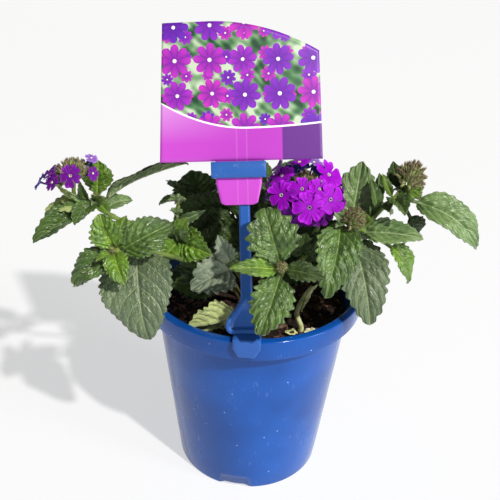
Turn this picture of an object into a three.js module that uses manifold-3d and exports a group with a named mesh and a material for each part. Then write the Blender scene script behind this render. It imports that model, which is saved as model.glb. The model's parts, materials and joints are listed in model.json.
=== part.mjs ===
// A young trailing verbena in its 140 mm nursery pot, with the clip stake and care label
// that sit on the rim. Millimetres, +Z up. The origin is the centre of the pot's underside,
// and the clip stands at the front, on -Y.
import * as THREE from 'three';
import { mergeVertices } from 'three/addons/utils/BufferGeometryUtils.js';
import Module from 'manifold-3d';

const wasm = await Module();
wasm.setup();

// ---------------------------------------------------------------- driving dimensions
const POT_HEIGHT = 136;
const RIM_RADIUS = 70;
const RIM_INNER_RADIUS = 65;
const RIM_BAND = 13.5;
const SHOULDER_RADIUS = 61.8;
const BASE_RADIUS = 47.6;
const POT_WALL = 1.4;
const FLOOR_LIFT = 4;
const CENTRE_FOOT_RADIUS = 14;
const FLOOR_SLOPE = 6;
const FOOT_RING_WIDTH = 2.6;
const DRAIN_COUNT = 4;
const DRAIN_NOTCH_WIDTH = 20;
const DRAIN_NOTCH_HEIGHT = 3.2;
const DRAIN_START = THREE.MathUtils.degToRad(-97);
const DRAIN_HOLE_RADIUS = 3.5;
const DRAIN_HOLE_INSET = 9;

const SOIL_LEVEL = 118;
const GAP = 0.3;

const CLIP_LEAN = THREE.MathUtils.degToRad(25);
const CLIP_TILT = THREE.MathUtils.degToRad(4.4);
const CLIP_STEM_WIDTH = 6.6;
const CLIP_STEM_DEPTH = 3.2;
const SHIELD_WIDTH = 24.6;
const SHIELD_HEIGHT = 22;
const HEAD_BOTTOM = 88;
const HEAD_HEIGHT = 9;
const HEAD_WIDTH = 30.4;
const HEAD_OFFSET = -2.5;
const FLAP_WIDTH = 16;
const FLAP_TIP_WIDTH = 9;
const FLAP_LENGTH = 12;
const FLAP_THICKNESS = 1.8;
const BRIDGE_THICKNESS = 2.6;
const LEG_WIDTH = 12;
const LEG_THICKNESS = 1.5;
const LABEL_SLOT = 1.5;

const LABEL_LEFT = -46.2;
const LABEL_TOP_LEFT = -42.6;
const LABEL_RIGHT = 44;
const LABEL_TOP_RIGHT = 43;
const LABEL_HEIGHT = 76;
const LABEL_RIGHT_HEIGHT = 58.8;
const LABEL_THICKNESS = 0.8;
const TONGUE_WIDTH = 25.4;
const TONGUE_END_WIDTH = 20;
const TONGUE_LENGTH = 15;

const STEM_RADIUS = 1.6;
const BRANCH_RADIUS = 1.3;
const LEAF_THICKNESS = 0.8;
const PETIOLE_HALF_WIDTH = 0.9;

// ---------------------------------------------------------------- materials
const finish = (color, roughness) => new THREE.MeshStandardMaterial({ color, roughness, metalness: 0 });
const POT_PLASTIC = finish(0x2a62b2, 0.35);
const CLIP_PLASTIC = finish(0x2f68b8, 0.4);
const LABEL_PLASTIC = finish(0xd94fe0, 0.45);
const POTTING_MIX = finish(0x2a1d16, 0.95);
const STEM_GREEN = finish(0x7f9636, 0.6);
const YOUNG_LEAF = finish(0x5f9a2e, 0.45);
const GREEN_LEAF = finish(0x4c7a35, 0.5);
const OLD_LEAF = finish(0x5a7355, 0.55);
const PALE_LEAF = finish(0xb5c878, 0.6);
const DRY_LEAF = finish(0xc2c08a, 0.8);
const PURPLE_PETAL = finish(0xa020d0, 0.6);
const BUD_BROWN = finish(0x6d5a4c, 0.8);

// ---------------------------------------------------------------- building helpers
const plant = new THREE.Group();
const V = (x, y, z) => new THREE.Vector3(x, y, z);

function addMesh(name, geometry, material) {
  const mesh = new THREE.Mesh(geometry, material);
  mesh.name = name;
  plant.add(mesh);
  return mesh;
}

function solidOf(geometry) {
  const bare = geometry.clone();
  bare.deleteAttribute('normal');
  bare.deleteAttribute('uv');
  const welded = mergeVertices(bare, 1e-4);
  return new wasm.Manifold(new wasm.Mesh({
    numProp: 3,
    vertProperties: new Float32Array(welded.attributes.position.array),
    triVerts: new Uint32Array(welded.index.array),
  }));
}

function geometryOf(solid) {
  const { vertProperties, triVerts } = solid.getMesh();
  const geometry = new THREE.BufferGeometry();
  geometry.setAttribute('position', new THREE.BufferAttribute(vertProperties, 3));
  geometry.setIndex(new THREE.BufferAttribute(triVerts, 1));
  return geometry;
}

const joined = (geometries) => geometries.map(solidOf).reduce((sum, next) => sum.add(next));

function turnedAboutZ(profile, segments) {
  const points = profile.map(([radius, z]) => new THREE.Vector2(radius, z));
  return new THREE.LatheGeometry(points, segments).rotateX(Math.PI / 2);
}

// A prism: an outline in X and Y, standing from z = from to z = to.
function prism(outline, from, to, curveSegments = 5) {
  const shape = outline instanceof THREE.Shape
    ? outline
    : new THREE.Shape(outline.map(([x, y]) => new THREE.Vector2(x, y)));
  const options = { depth: to - from, bevelEnabled: false, curveSegments };
  return new THREE.ExtrudeGeometry(shape, options).translate(0, 0, from);
}

// ---------------------------------------------------------------- pot
// Thin injection-moulded wall with a stepped-out rim, a turned-down skirt and a lifted
// floor that comes down to a flat centre foot.
const wallSlope = (SHOULDER_RADIUS - BASE_RADIUS) / (POT_HEIGHT - RIM_BAND);
const outerRadiusAt = (z) => BASE_RADIUS + wallSlope * z;
const innerRadiusAt = (z) => outerRadiusAt(z) - POT_WALL;

function potBody() {
  const bandBottom = POT_HEIGHT - RIM_BAND;
  const floorTop = FLOOR_LIFT + POT_WALL;
  const flareTop = bandBottom + 6;
  const ledge = POT_HEIGHT - POT_WALL;
  const skirtBottomRadius = RIM_RADIUS - 1;
  const profile = [
    [0, 0],
    [CENTRE_FOOT_RADIUS, 0],
    [CENTRE_FOOT_RADIUS + FLOOR_SLOPE, FLOOR_LIFT],
    [BASE_RADIUS - FOOT_RING_WIDTH - 0.2, FLOOR_LIFT],
    [BASE_RADIUS - FOOT_RING_WIDTH, 0],
    [BASE_RADIUS, 0],
    [SHOULDER_RADIUS, bandBottom],
    [RIM_INNER_RADIUS + POT_WALL - 0.2, flareTop],
    [RIM_INNER_RADIUS + POT_WALL, ledge],
    [RIM_RADIUS - POT_WALL - 0.1, ledge],
    [skirtBottomRadius - POT_WALL, bandBottom],
    [skirtBottomRadius, bandBottom],
    [RIM_RADIUS, POT_HEIGHT - 1.2],
    [RIM_RADIUS - 0.8, POT_HEIGHT],
    [RIM_INNER_RADIUS + 0.9, POT_HEIGHT],
    [RIM_INNER_RADIUS, POT_HEIGHT - 0.9],
    [RIM_INNER_RADIUS - 0.2, flareTop + 0.5],
    [innerRadiusAt(bandBottom), bandBottom],
    [innerRadiusAt(floorTop), floorTop],
    [CENTRE_FOOT_RADIUS + FLOOR_SLOPE + 0.5, floorTop],
    [CENTRE_FOOT_RADIUS + 0.5, POT_WALL],
    [0, POT_WALL],
  ];
  let pot = solidOf(turnedAboutZ(profile, 48));
  const archRadius = (DRAIN_NOTCH_WIDTH ** 2 / 4 + DRAIN_NOTCH_HEIGHT ** 2) / (2 * DRAIN_NOTCH_HEIGHT);
  for (let i = 0; i < DRAIN_COUNT; i += 1) {
    const turn = DRAIN_START + (2 * Math.PI * i) / DRAIN_COUNT;
    const notch = new THREE.CylinderGeometry(archRadius, archRadius, 12, 40)
      .rotateZ(Math.PI / 2)
      .translate(BASE_RADIUS, 0, DRAIN_NOTCH_HEIGHT - archRadius)
      .rotateZ(turn);
    const hole = new THREE.CylinderGeometry(DRAIN_HOLE_RADIUS, DRAIN_HOLE_RADIUS, 4, 10)
      .rotateX(Math.PI / 2)
      .translate(BASE_RADIUS - DRAIN_HOLE_INSET, 0, FLOOR_LIFT + POT_WALL / 2)
      .rotateZ(turn);
    pot = pot.subtract(solidOf(notch)).subtract(solidOf(hole));
  }
  return geometryOf(pot);
}
addMesh('pot', potBody(), POT_PLASTIC);

// ---------------------------------------------------------------- potting mix
function rootBall() {
  const lift = FLOOR_LIFT + POT_WALL + GAP;
  const profile = [
    [0, POT_WALL + GAP],
    [CENTRE_FOOT_RADIUS, POT_WALL + GAP],
    [CENTRE_FOOT_RADIUS + FLOOR_SLOPE + GAP, lift],
    [innerRadiusAt(lift) - 2 * GAP, lift],
    [innerRadiusAt(SOIL_LEVEL) - 2 * GAP, SOIL_LEVEL],
    [0, SOIL_LEVEL],
  ];
  return turnedAboutZ(profile, 32);
}
addMesh('potting_mix', rootBall(), POTTING_MIX);

// ---------------------------------------------------------------- clip stake
// The stake's own frame: X across, Y up along the stem, Z out of its front face, with the
// origin where the shield meets the rim. It leans back over the pot and tilts a little.
const up = V(0, Math.sin(CLIP_LEAN), Math.cos(CLIP_LEAN));
const front = V(0, -Math.cos(CLIP_LEAN), Math.sin(CLIP_LEAN));
const clipFoot = V(0, -RIM_RADIUS + 3.4, POT_HEIGHT + 3);
const clipFrame = new THREE.Matrix4()
  .makeBasis(V(1, 0, 0), up, front)
  .multiply(new THREE.Matrix4().makeRotationZ(CLIP_TILT))
  .setPosition(clipFoot);

function shieldOutline(inset) {
  const half = SHIELD_WIDTH / 2 - inset;
  const neck = CLIP_STEM_WIDTH / 2 - Math.min(inset, 0.8);
  const top = SHIELD_HEIGHT - inset;
  const corner = 5 - inset / 2;
  const outline = new THREE.Shape();
  outline.moveTo(-half + corner, inset);
  outline.lineTo(half - corner, inset);
  outline.quadraticCurveTo(half, inset, half, inset + corner);
  outline.bezierCurveTo(half, top * 0.62, neck + 1.5, top * 0.7, neck, top);
  outline.lineTo(-neck, top);
  outline.bezierCurveTo(-neck - 1.5, top * 0.7, -half, top * 0.62, -half, inset + corner);
  outline.quadraticCurveTo(-half, inset, -half + corner, inset);
  return outline;
}

// The leg is drawn in Y and Z and runs across X, the flap is drawn in X and Z and is as
// thick as its two Y values say.
const acrossX = (section, width) => prism(section, -width / 2, width / 2)
  .applyMatrix4(new THREE.Matrix4().makeBasis(V(0, 1, 0), V(0, 0, 1), V(1, 0, 0)));
const alongY = (outline, from, to) => prism(outline, -to, -from).rotateX(Math.PI / 2);

function clipStake() {
  const back = -1 - CLIP_STEM_DEPTH;
  const stem = prism([
    [-CLIP_STEM_WIDTH / 2 - 0.4, SHIELD_HEIGHT - 8],
    [CLIP_STEM_WIDTH / 2 + 0.4, SHIELD_HEIGHT - 8],
    [CLIP_STEM_WIDTH / 2 - 0.3, HEAD_BOTTOM + 4],
    [-CLIP_STEM_WIDTH / 2 + 0.3, HEAD_BOTTOM + 4],
  ], back, -1);
  const shield = prism(shieldOutline(0), back, -0.2);
  const dish = prism(shieldOutline(2), -1.6, 1);
  const head = new THREE.BoxGeometry(HEAD_WIDTH, HEAD_HEIGHT, 4.8)
    .translate(HEAD_OFFSET, HEAD_BOTTOM + HEAD_HEIGHT / 2, 0.2);
  const slot = new THREE.BoxGeometry(TONGUE_WIDTH + 1, HEAD_HEIGHT + 2, LABEL_SLOT)
    .translate(HEAD_OFFSET, HEAD_BOTTOM + HEAD_HEIGHT / 2, 0);
  const leaning = joined([shield, head])
    .subtract(solidOf(dish))
    .add(solidOf(stem))
    .subtract(solidOf(slot));

  const rimTop = POT_HEIGHT + GAP;
  const bridgeTop = rimTop + BRIDGE_THICKNESS;
  const flapFace = -RIM_RADIUS - GAP - 0.1;
  const flapFront = flapFace - FLAP_THICKNESS;
  const flap = alongY([
    [-FLAP_WIDTH / 2, bridgeTop],
    [-FLAP_WIDTH / 2, bridgeTop - 0.5 * FLAP_LENGTH],
    [-FLAP_TIP_WIDTH / 2, bridgeTop - FLAP_LENGTH],
    [FLAP_TIP_WIDTH / 2, bridgeTop - FLAP_LENGTH],
    [FLAP_WIDTH / 2, bridgeTop - 0.5 * FLAP_LENGTH],
    [FLAP_WIDTH / 2, bridgeTop],
  ], flapFront, flapFace);
  const bridge = acrossX([
    [flapFront, rimTop],
    [-RIM_INNER_RADIUS + 3, rimTop],
    [-RIM_INNER_RADIUS + 3, bridgeTop],
    [flapFront, bridgeTop],
  ], FLAP_WIDTH);
  // The leg keeps close to the rim's inside and to the flare below it, down to the soil.
  const legRun = [[0.9, 0], [2.1, 7.3], [6.3, 14.2], [6.3, rimTop - SOIL_LEVEL - 1]];
  const leg = acrossX([
    ...legRun.map(([inset, drop]) => [-RIM_INNER_RADIUS + inset, rimTop - drop]),
    ...legRun.map(([inset, drop]) => [-RIM_INNER_RADIUS + inset + LEG_THICKNESS, rimTop - drop]).reverse(),
  ], LEG_WIDTH);
  const placed = solidOf(geometryOf(leaning).applyMatrix4(clipFrame));
  return geometryOf(placed.add(joined([flap, bridge, leg])));
}
addMesh('label_clip', clipStake(), CLIP_PLASTIC);

// ---------------------------------------------------------------- care label
// One sheet: the panel stands on the clip's head and its tongue goes down through the slot.
// The panel is a little wider at its foot than at its top.
function careLabel() {
  const foot = HEAD_BOTTOM + HEAD_HEIGHT + GAP;
  const top = foot + LABEL_HEIGHT;
  const left = HEAD_OFFSET - TONGUE_WIDTH / 2;
  const right = HEAD_OFFSET + TONGUE_WIDTH / 2;
  const narrow = (TONGUE_WIDTH - TONGUE_END_WIDTH) / 2;
  const end = HEAD_BOTTOM - TONGUE_LENGTH;
  const outline = new THREE.Shape();
  outline.moveTo(LABEL_LEFT, foot);
  outline.lineTo(left, foot);
  outline.lineTo(left, HEAD_BOTTOM - 3);
  outline.lineTo(left + narrow, end + 3);
  outline.quadraticCurveTo(left + narrow + 0.5, end, left + narrow + 3, end);
  outline.lineTo(right - narrow - 3, end);
  outline.quadraticCurveTo(right - narrow - 0.5, end, right - narrow, end + 3);
  outline.lineTo(right, HEAD_BOTTOM - 3);
  outline.lineTo(right, foot);
  outline.lineTo(LABEL_RIGHT, foot);
  outline.lineTo(LABEL_TOP_RIGHT, foot + LABEL_RIGHT_HEIGHT);
  outline.quadraticCurveTo(LABEL_TOP_RIGHT - 29, top, -18, top);
  outline.lineTo(LABEL_TOP_LEFT, top);
  return prism(outline, -LABEL_THICKNESS / 2, LABEL_THICKNESS / 2, 6).applyMatrix4(clipFrame);
}
addMesh('care_label', careLabel(), LABEL_PLASTIC);

// ---------------------------------------------------------------- stems
// A stem is a six-sided rod along a smooth curve. Every shoot starts upright, just clear of
// the potting mix. Side branches leave the main rod and are joined to it.
const roundSection = (radius) => new THREE.Shape(
  [0, 1, 2, 3, 4, 5].map((i) => new THREE.Vector2(
    radius * Math.cos((i * Math.PI) / 3),
    radius * Math.sin((i * Math.PI) / 3),
  )),
);

function rodAlong(curve, radius, steps) {
  const options = { steps, extrudePath: curve, bevelEnabled: false };
  return new THREE.ExtrudeGeometry(roundSection(radius), options);
}

const smooth = (points) => new THREE.CatmullRomCurve3(points.map((p) => V(...p)), false, 'centripetal');

function shoot(name, points, branches = [], material = STEM_GREEN) {
  const [x, y] = points[0];
  const rooted = [[x, y, SOIL_LEVEL + GAP], [x, y, SOIL_LEVEL + 4], ...points.slice(1)];
  const curve = smooth(rooted);
  const rods = [rodAlong(curve, STEM_RADIUS, 4 * points.length)];
  const sides = branches.map((branch) => smooth([curve.getPoint(branch.from).toArray(), ...branch.to]));
  sides.forEach((side) => rods.push(rodAlong(side, BRANCH_RADIUS, 7)));
  addMesh(name, geometryOf(joined(rods)), material);
  return { curve, sides };
}

// ---------------------------------------------------------------- leaves
// A leaf is a petiole that widens into an ovate blade: rows of left edge, midrib and right
// edge on a curved spine, with the edges lifted into a shallow V. It starts beside its stem.
const LEAF_ROWS = [0, 0.14, 0.32, 0.52, 0.72, 0.88, 1];
const ovate = (s, shoulder) => Math.sin(Math.PI * s ** shoulder) ** 0.8;

function leafBase(curve, at, tip, radius) {
  const onStem = curve.getPoint(at);
  const along = curve.getTangent(at);
  const towards = tip.clone().sub(onStem).normalize();
  const sideways = towards.clone().addScaledVector(along, -towards.dot(along)).normalize();
  const slant = Math.abs(towards.dot(along));
  const clearance = radius + GAP + PETIOLE_HALF_WIDTH * (0.2 + 0.9 * slant);
  return onStem.addScaledVector(sideways, clearance);
}

function leafGeometry(base, tip, width, shape) {
  const { face, bow = 0.12, fold = 18, petiole = 0.12, shoulder = 0.7 } = shape;
  const chord = tip.clone().sub(base);
  const length = chord.length();
  const across = chord.clone().cross(V(...face)).normalize();
  const lift = across.clone().cross(chord).normalize();
  const middle = base.clone().lerp(tip, 0.5).addScaledVector(lift, 2 * bow * length);
  const spine = new THREE.QuadraticBezierCurve3(base, middle, tip);
  const rise = Math.sin(THREE.MathUtils.degToRad(fold));
  const spread = Math.cos(THREE.MathUtils.degToRad(fold));
  const stations = [0, ...LEAF_ROWS.map((s) => petiole + s * (1 - petiole))];
  const positions = [];
  stations.forEach((u, row) => {
    const s = Math.max(0, (u - petiole) / (1 - petiole));
    const narrow = row < 2 ? PETIOLE_HALF_WIDTH : 0.35;
    const half = Math.max(narrow, (width / 2) * ovate(s, shoulder));
    const centre = spine.getPoint(u);
    const normal = across.clone().cross(spine.getTangent(u)).normalize();
    for (const side of [1, -1]) {
      for (const edge of [-1, 0, 1]) {
        const point = centre.clone()
          .addScaledVector(across, edge * half * spread)
          .addScaledVector(normal, Math.abs(edge) * half * rise + (side * LEAF_THICKNESS) / 2);
        positions.push(point.x, point.y, point.z);
      }
    }
  });
  const index = [];
  const quad = (a, b, c, d) => index.push(a, b, c, a, c, d);
  const top = (row, column) => row * 6 + column;
  const under = (row, column) => row * 6 + 3 + column;
  const last = stations.length - 1;
  for (let row = 0; row < last; row += 1) {
    for (const column of [0, 1]) {
      quad(top(row, column), top(row, column + 1), top(row + 1, column + 1), top(row + 1, column));
      quad(under(row, column), under(row + 1, column), under(row + 1, column + 1), under(row, column + 1));
    }
    quad(top(row, 0), top(row + 1, 0), under(row + 1, 0), under(row, 0));
    quad(top(row, 2), under(row, 2), under(row + 1, 2), top(row + 1, 2));
  }
  for (const column of [0, 1]) {
    quad(top(0, column), under(0, column), under(0, column + 1), top(0, column + 1));
    quad(top(last, column), top(last, column + 1), under(last, column + 1), under(last, column));
  }
  const geometry = new THREE.BufferGeometry();
  geometry.setAttribute('position', new THREE.Float32BufferAttribute(positions, 3));
  geometry.setIndex(index);
  return geometry;
}

// A leaf spec is its name, where it leaves the stem (0 foot, 1 end), its tip, its width,
// its green and its shape: the way its upper side faces, and any setting of bow (arch over
// length), fold (degrees), petiole (part of the length) or shoulder (lower puts the widest
// place nearer the petiole) that differs from the usual one.
function leaves(curve, specs, radius = STEM_RADIUS) {
  for (const [name, at, tipPoint, width, material, shape] of specs) {
    const tip = V(...tipPoint);
    addMesh(name, leafGeometry(leafBase(curve, at, tip, radius), tip, width, shape), material);
  }
}

// ---------------------------------------------------------------- flower and bud heads
// Each head is a turned solid on the end of its stalk, looking along the given axis.
function head(name, stalk, axis, profile, segments, material) {
  const direction = V(...axis).normalize();
  const turn = new THREE.Quaternion().setFromUnitVectors(V(0, 0, 1), direction);
  const foot = stalk.getPoint(1).addScaledVector(direction, 2 * GAP + BRANCH_RADIUS * 0.4);
  const mesh = addMesh(name, turnedAboutZ(profile, segments), material);
  mesh.quaternion.copy(turn);
  mesh.position.copy(foot);
}

const umbel = (radius, depth) => [
  [0, 0], [1.5, 0], [radius * 0.55, depth * 0.3], [radius * 0.95, depth * 0.42], [radius, depth * 0.55],
  [radius * 0.82, depth * 0.8], [radius * 0.45, depth * 0.96], [0, depth],
];
const budCluster = (radius, depth) => [
  [0, 0], [1.2, 0], [radius * 0.7, depth * 0.35], [radius, depth * 0.7], [radius * 0.7, depth * 0.95],
  [0, depth],
];

// ---------------------------------------------------------------- left side of the plant
const farLeft = shoot('shoot_far_left', [
  [-9, 1], [-17, 0, 140], [-45, -6, 167], [-80, -12, 178], [-94, -12, 187], [-95, -12, 192],
], [{ from: 0.86, to: [[-100, -13, 189], [-107, -13, 193], [-107, -12, 203]] }]);
leaves(farLeft.curve, [
  ['leaf_far_left_upright', 0.99, [-94, -4, 210], 19, GREEN_LEAF, { face: [0.1, -0.9, 0.5], bow: -0.12 }],
  ['leaf_far_left_lower', 0.95, [-103, -27, 182], 14, GREEN_LEAF, { face: [-0.2, -0.5, 0.9] }],
  ['leaf_far_left_arching', 0.87, [-42, 6, 210], 20, OLD_LEAF,
    { face: [-0.41, 0.3, 0.71], bow: 0.07, petiole: 0.2 }],
  ['leaf_far_left_inner', 0.78, [-75, -1, 186], 11, GREEN_LEAF, { face: [-0.2, -0.5, 0.8] }],
]);
leaves(farLeft.sides[0], [
  ['leaf_far_left_folded', 0.3, [-131, -27, 168], 20, GREEN_LEAF,
    { face: [-0.3, -0.7, 0.6], fold: 42, bow: 0.03 }],
], BRANCH_RADIUS);
head('flower_head_left', farLeft.sides[0], [-0.4, 0, 0.92], umbel(16, 9), 12, PURPLE_PETAL);

const leftRosette = shoot('shoot_left', [
  [-8, -6], [-15, -14, 140], [-34, -28, 160], [-56, -36, 171], [-72, -45, 175], [-78, -48, 178],
]);
leaves(leftRosette.curve, [
  ['leaf_left_upper', 1, [-84, -44, 200], 17, YOUNG_LEAF, { face: [-0.1, -0.8, 0.5] }],
  ['leaf_left_back', 0.98, [-74, -27, 190], 11, YOUNG_LEAF, { face: [-0.2, -0.6, 0.8], bow: 0.06 }],
  ['leaf_left_inner', 0.9, [-45, -37, 190], 23, GREEN_LEAF, { face: [0.1, -0.8, 0.5] }],
  ['leaf_left_lower', 0.98, [-69, -63, 165], 15, YOUNG_LEAF, { face: [0, -0.8, 0.6], bow: 0.18 }],
  ['leaf_left_outer', 0.93, [-101, -53, 156], 21, GREEN_LEAF, { face: [-0.3, -0.6, 0.7], fold: 26 }],
  ['leaf_left_hanging', 0.76, [-57, -59, 126], 43, OLD_LEAF,
    { face: [-0.1, -0.9, 0.4], bow: 0.16, fold: 8, petiole: 0.06, shoulder: 0.52 }],
]);

const innerLeft = shoot('shoot_inner_left', [
  [-3, -1], [-10, -3, 140], [-26, -12, 158], [-42, -18, 166], [-47, -15, 178], [-46, -10, 190],
]);
leaves(innerLeft.curve, [
  ['leaf_inner_left', 0.74, [-23, -34, 171], 17, YOUNG_LEAF, { face: [0, -0.7, 0.7], bow: 0.06 }],
]);

const archLeft = shoot('shoot_arching', [
  [-2, 6], [-5, 10, 145], [-14, 13, 176], [-27, 11, 181], [-36, 9, 178],
]);
leaves(archLeft.curve, [
  ['leaf_inner_dark', 0.97, [-42, 16, 199], 29, OLD_LEAF, { face: [0, -0.9, 0.4], bow: -0.1 }],
]);

// ---------------------------------------------------------------- middle, low in the pot
const lowMiddle = shoot('shoot_low_middle', [[-3, -8], [-5, -14, 138], [-9, -27, 156], [-14, -31, 164]]);
leaves(lowMiddle.curve, [
  ['leaf_middle_small', 1, [-19, -26, 180], 9, OLD_LEAF, { face: [0, -0.9, 0.4] }],
  ['leaf_middle_grey', 0.9, [-34, -45, 154], 25, OLD_LEAF, { face: [-0.1, -0.6, 0.8], bow: 0.16 }],
]);
const lowFront = shoot('shoot_low_front', [[2, -12], [3, -22, 132], [-1, -40, 141], [-5, -48, 142]]);
leaves(lowFront.curve, [
  ['leaf_pale_underside', 1, [-36, -53, 132], 30, PALE_LEAF, { face: [0, 0.9, 0.35], bow: -0.06 }],
]);

// ---------------------------------------------------------------- front rosette
const frontRosette = shoot('shoot_front', [
  [8, -9], [11, -18, 138], [14, -41, 159], [17, -57, 175], [17, -62, 182],
]);
leaves(frontRosette.curve, [
  ['leaf_front_upper', 1, [9, -50, 209], 29, GREEN_LEAF, { face: [0, -0.8, 0.5], fold: 12 }],
  ['leaf_front_left', 0.91, [-11, -68, 183], 11, YOUNG_LEAF, { face: [0, -0.7, 0.7] }],
  ['leaf_front_right', 0.96, [41, -62, 176], 12, GREEN_LEAF, { face: [0, -0.7, 0.7] }],
  ['leaf_front_lower', 0.84, [9, -79, 148], 26, GREEN_LEAF, { face: [0, -0.9, 0.3], bow: 0.14, fold: 12 }],
]);
head('bud_front', frontRosette.curve, [0.05, -0.7, 0.8], budCluster(3.4, 5), 8, BUD_BROWN);

// ---------------------------------------------------------------- right flower head
const flowerShoot = shoot('shoot_flower', [[5, 0], [9, 0, 142], [20, -4, 172], [27, -8, 192]]);
head('flower_head_right', flowerShoot.curve, [0.05, -0.55, 0.83], umbel(23, 17), 14, PURPLE_PETAL);

// ---------------------------------------------------------------- right side of the plant
const rightFront = shoot('shoot_right_front', [
  [12, -4], [19, -9, 142], [33, -20, 168], [44, -27, 189], [54, -27, 195],
]);
leaves(rightFront.curve, [
  ['leaf_right_front', 0.86, [45, -51, 156], 27, GREEN_LEAF, { face: [0.1, -0.9, 0.4], bow: 0.14 }],
]);
head('bud_head_front', rightFront.curve, [0.6, -0.5, 0.6], budCluster(5.5, 12), 8, BUD_BROWN);

const right = shoot('shoot_right', [
  [13, 3], [20, 1, 140], [40, -10, 168], [62, -20, 185], [78, -15, 202], [92, -11, 203],
], [{ from: 0.84, to: [[82, -12, 206], [85, -9, 210]] }]);
leaves(right.curve, [
  ['leaf_right_pointing', 0.68, [97, -29, 185], 17, GREEN_LEAF, { face: [0, -0.6, 0.8] }],
  ['leaf_right_hanging', 0.66, [92, -30, 156], 14, YOUNG_LEAF,
    { face: [0.8, -0.4, 0.6], bow: 0.26, petiole: 0.4, fold: 30 }],
  ['leaf_right_lower', 0.62, [71, -48, 139], 30, OLD_LEAF, { face: [0.2, -0.9, 0.4], bow: 0.18, fold: 12 }],
  ['leaf_right_behind', 0.64, [62, 5, 216], 22, GREEN_LEAF,
    { face: [-0.1, -0.9, 0.4], petiole: 0.3, bow: -0.05 }],
  ['leaf_right_folded', 0.85, [84, -33, 204], 16, GREEN_LEAF, { face: [0, -0.5, 0.8], fold: 34 }],
  ['leaf_right_under', 0.9, [97, -4, 177], 14, GREEN_LEAF, { face: [0.6, 0.5, 0.6] }],
  ['leaf_right_tip', 0.99, [131, -22, 178], 22, GREEN_LEAF, { face: [0.2, -0.6, 0.8], bow: 0.2 }],
]);
leaves(right.sides[0], [
  ['leaf_right_bract', 0.8, [79, 4, 220], 13, OLD_LEAF, { face: [0.2, -0.9, 0.3], bow: -0.12 }],
], BRANCH_RADIUS);
head('bud_head_right', right.sides[0], [0.4, -0.2, 0.9], budCluster(8.5, 14), 10, BUD_BROWN);

shoot('shoot_dry', [[31, -32], [28, -31, 131], [33, -26, 142], [37, -26, 148]], [], DRY_LEAF);

// ---------------------------------------------------------------- back of the plant
const back = shoot('shoot_back', [[3, 11], [5, 17, 142], [8, 34, 168], [8, 48, 186]]);
leaves(back.curve, [
  ['leaf_back_left', 0.95, [-18, 62, 194], 22, GREEN_LEAF, { face: [-0.1, 0.5, 0.9] }],
  ['leaf_back_right', 0.95, [34, 60, 192], 22, GREEN_LEAF, { face: [0.1, 0.5, 0.9] }],
  ['leaf_back_lower', 0.86, [6, 84, 160], 28, OLD_LEAF, { face: [0, 0.8, 0.6], bow: 0.18 }],
]);

const backRight = shoot('shoot_back_right', [[9, 8], [17, 14, 140], [38, 30, 160], [56, 42, 172]]);
leaves(backRight.curve, [
  ['leaf_back_right_outer', 1, [90, 52, 160], 26, GREEN_LEAF, { face: [0.5, 0.3, 0.9] }],
  ['leaf_back_right_lower', 0.9, [58, 72, 144], 30, OLD_LEAF, { face: [0.2, 0.9, 0.5], bow: 0.2 }],
  ['leaf_back_right_upper', 0.9, [62, 28, 196], 20, YOUNG_LEAF, { face: [0.4, -0.2, 0.8] }],
]);

const backLeft = shoot('shoot_back_left', [[-6, 9], [-14, 16, 140], [-34, 33, 160], [-50, 44, 172]]);
leaves(backLeft.curve, [
  ['leaf_back_left_outer', 1, [-55, 78, 156], 25, GREEN_LEAF, { face: [-0.1, 0.4, 0.9] }],
  ['leaf_back_left_lower', 0.86, [-24, 76, 138], 27, OLD_LEAF, { face: [-0.2, 0.9, 0.5], bow: 0.2 }],
]);

export default plant;
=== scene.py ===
# %% [markdown]
# # A young verbena in its nursery pot
# This is a trailing verbena as a garden centre sells it: wrinkled leaves on long hairy shoots,
# two purple flower heads, a blue moulded pot, and a care label held by a clip on the pot's rim.
# The lesson builds it piece by piece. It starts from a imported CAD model, the frame, which says
# where each piece is and how large it is. Blender adds what the frame is too coarse to hold:
# leaf teeth and veins, florets, hairs, bark, rounded plastic edges, and the finishes.
# All sizes are written in millimetres and turned to metres where a mesh is made.

# %% Load the frame
import json
import math
import random

import bpy
import numpy as np
from mathutils import Matrix, Vector, noise


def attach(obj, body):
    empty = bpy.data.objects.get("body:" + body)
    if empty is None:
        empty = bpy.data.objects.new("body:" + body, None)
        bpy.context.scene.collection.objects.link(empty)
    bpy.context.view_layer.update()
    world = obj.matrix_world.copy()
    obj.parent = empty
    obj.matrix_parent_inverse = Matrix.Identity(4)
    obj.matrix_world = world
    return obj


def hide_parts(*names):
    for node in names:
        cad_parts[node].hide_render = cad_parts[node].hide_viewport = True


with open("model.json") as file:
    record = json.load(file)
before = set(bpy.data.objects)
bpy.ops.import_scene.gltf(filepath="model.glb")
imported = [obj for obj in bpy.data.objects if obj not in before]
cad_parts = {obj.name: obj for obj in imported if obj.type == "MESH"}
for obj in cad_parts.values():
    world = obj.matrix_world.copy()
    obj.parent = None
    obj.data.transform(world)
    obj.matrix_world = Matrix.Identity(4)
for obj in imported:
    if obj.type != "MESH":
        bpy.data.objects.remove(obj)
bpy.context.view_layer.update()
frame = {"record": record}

MM = 0.001

# %% [markdown]
# ## The camera
# The plant is seen from a little above, as one looks down at a pot on a bench. The camera is
# placed from measured vectors, because a matrix holds a slight roll exactly, where angles typed
# by hand would not.

# %% Camera
EYE = (15.44, -432.48, 405.68)
VIEW_RIGHT = (0.99777, 0.05970, 0.02973)
VIEW_UP = (-0.05558, 0.49808, 0.86535)
LENS = 57.73

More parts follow.
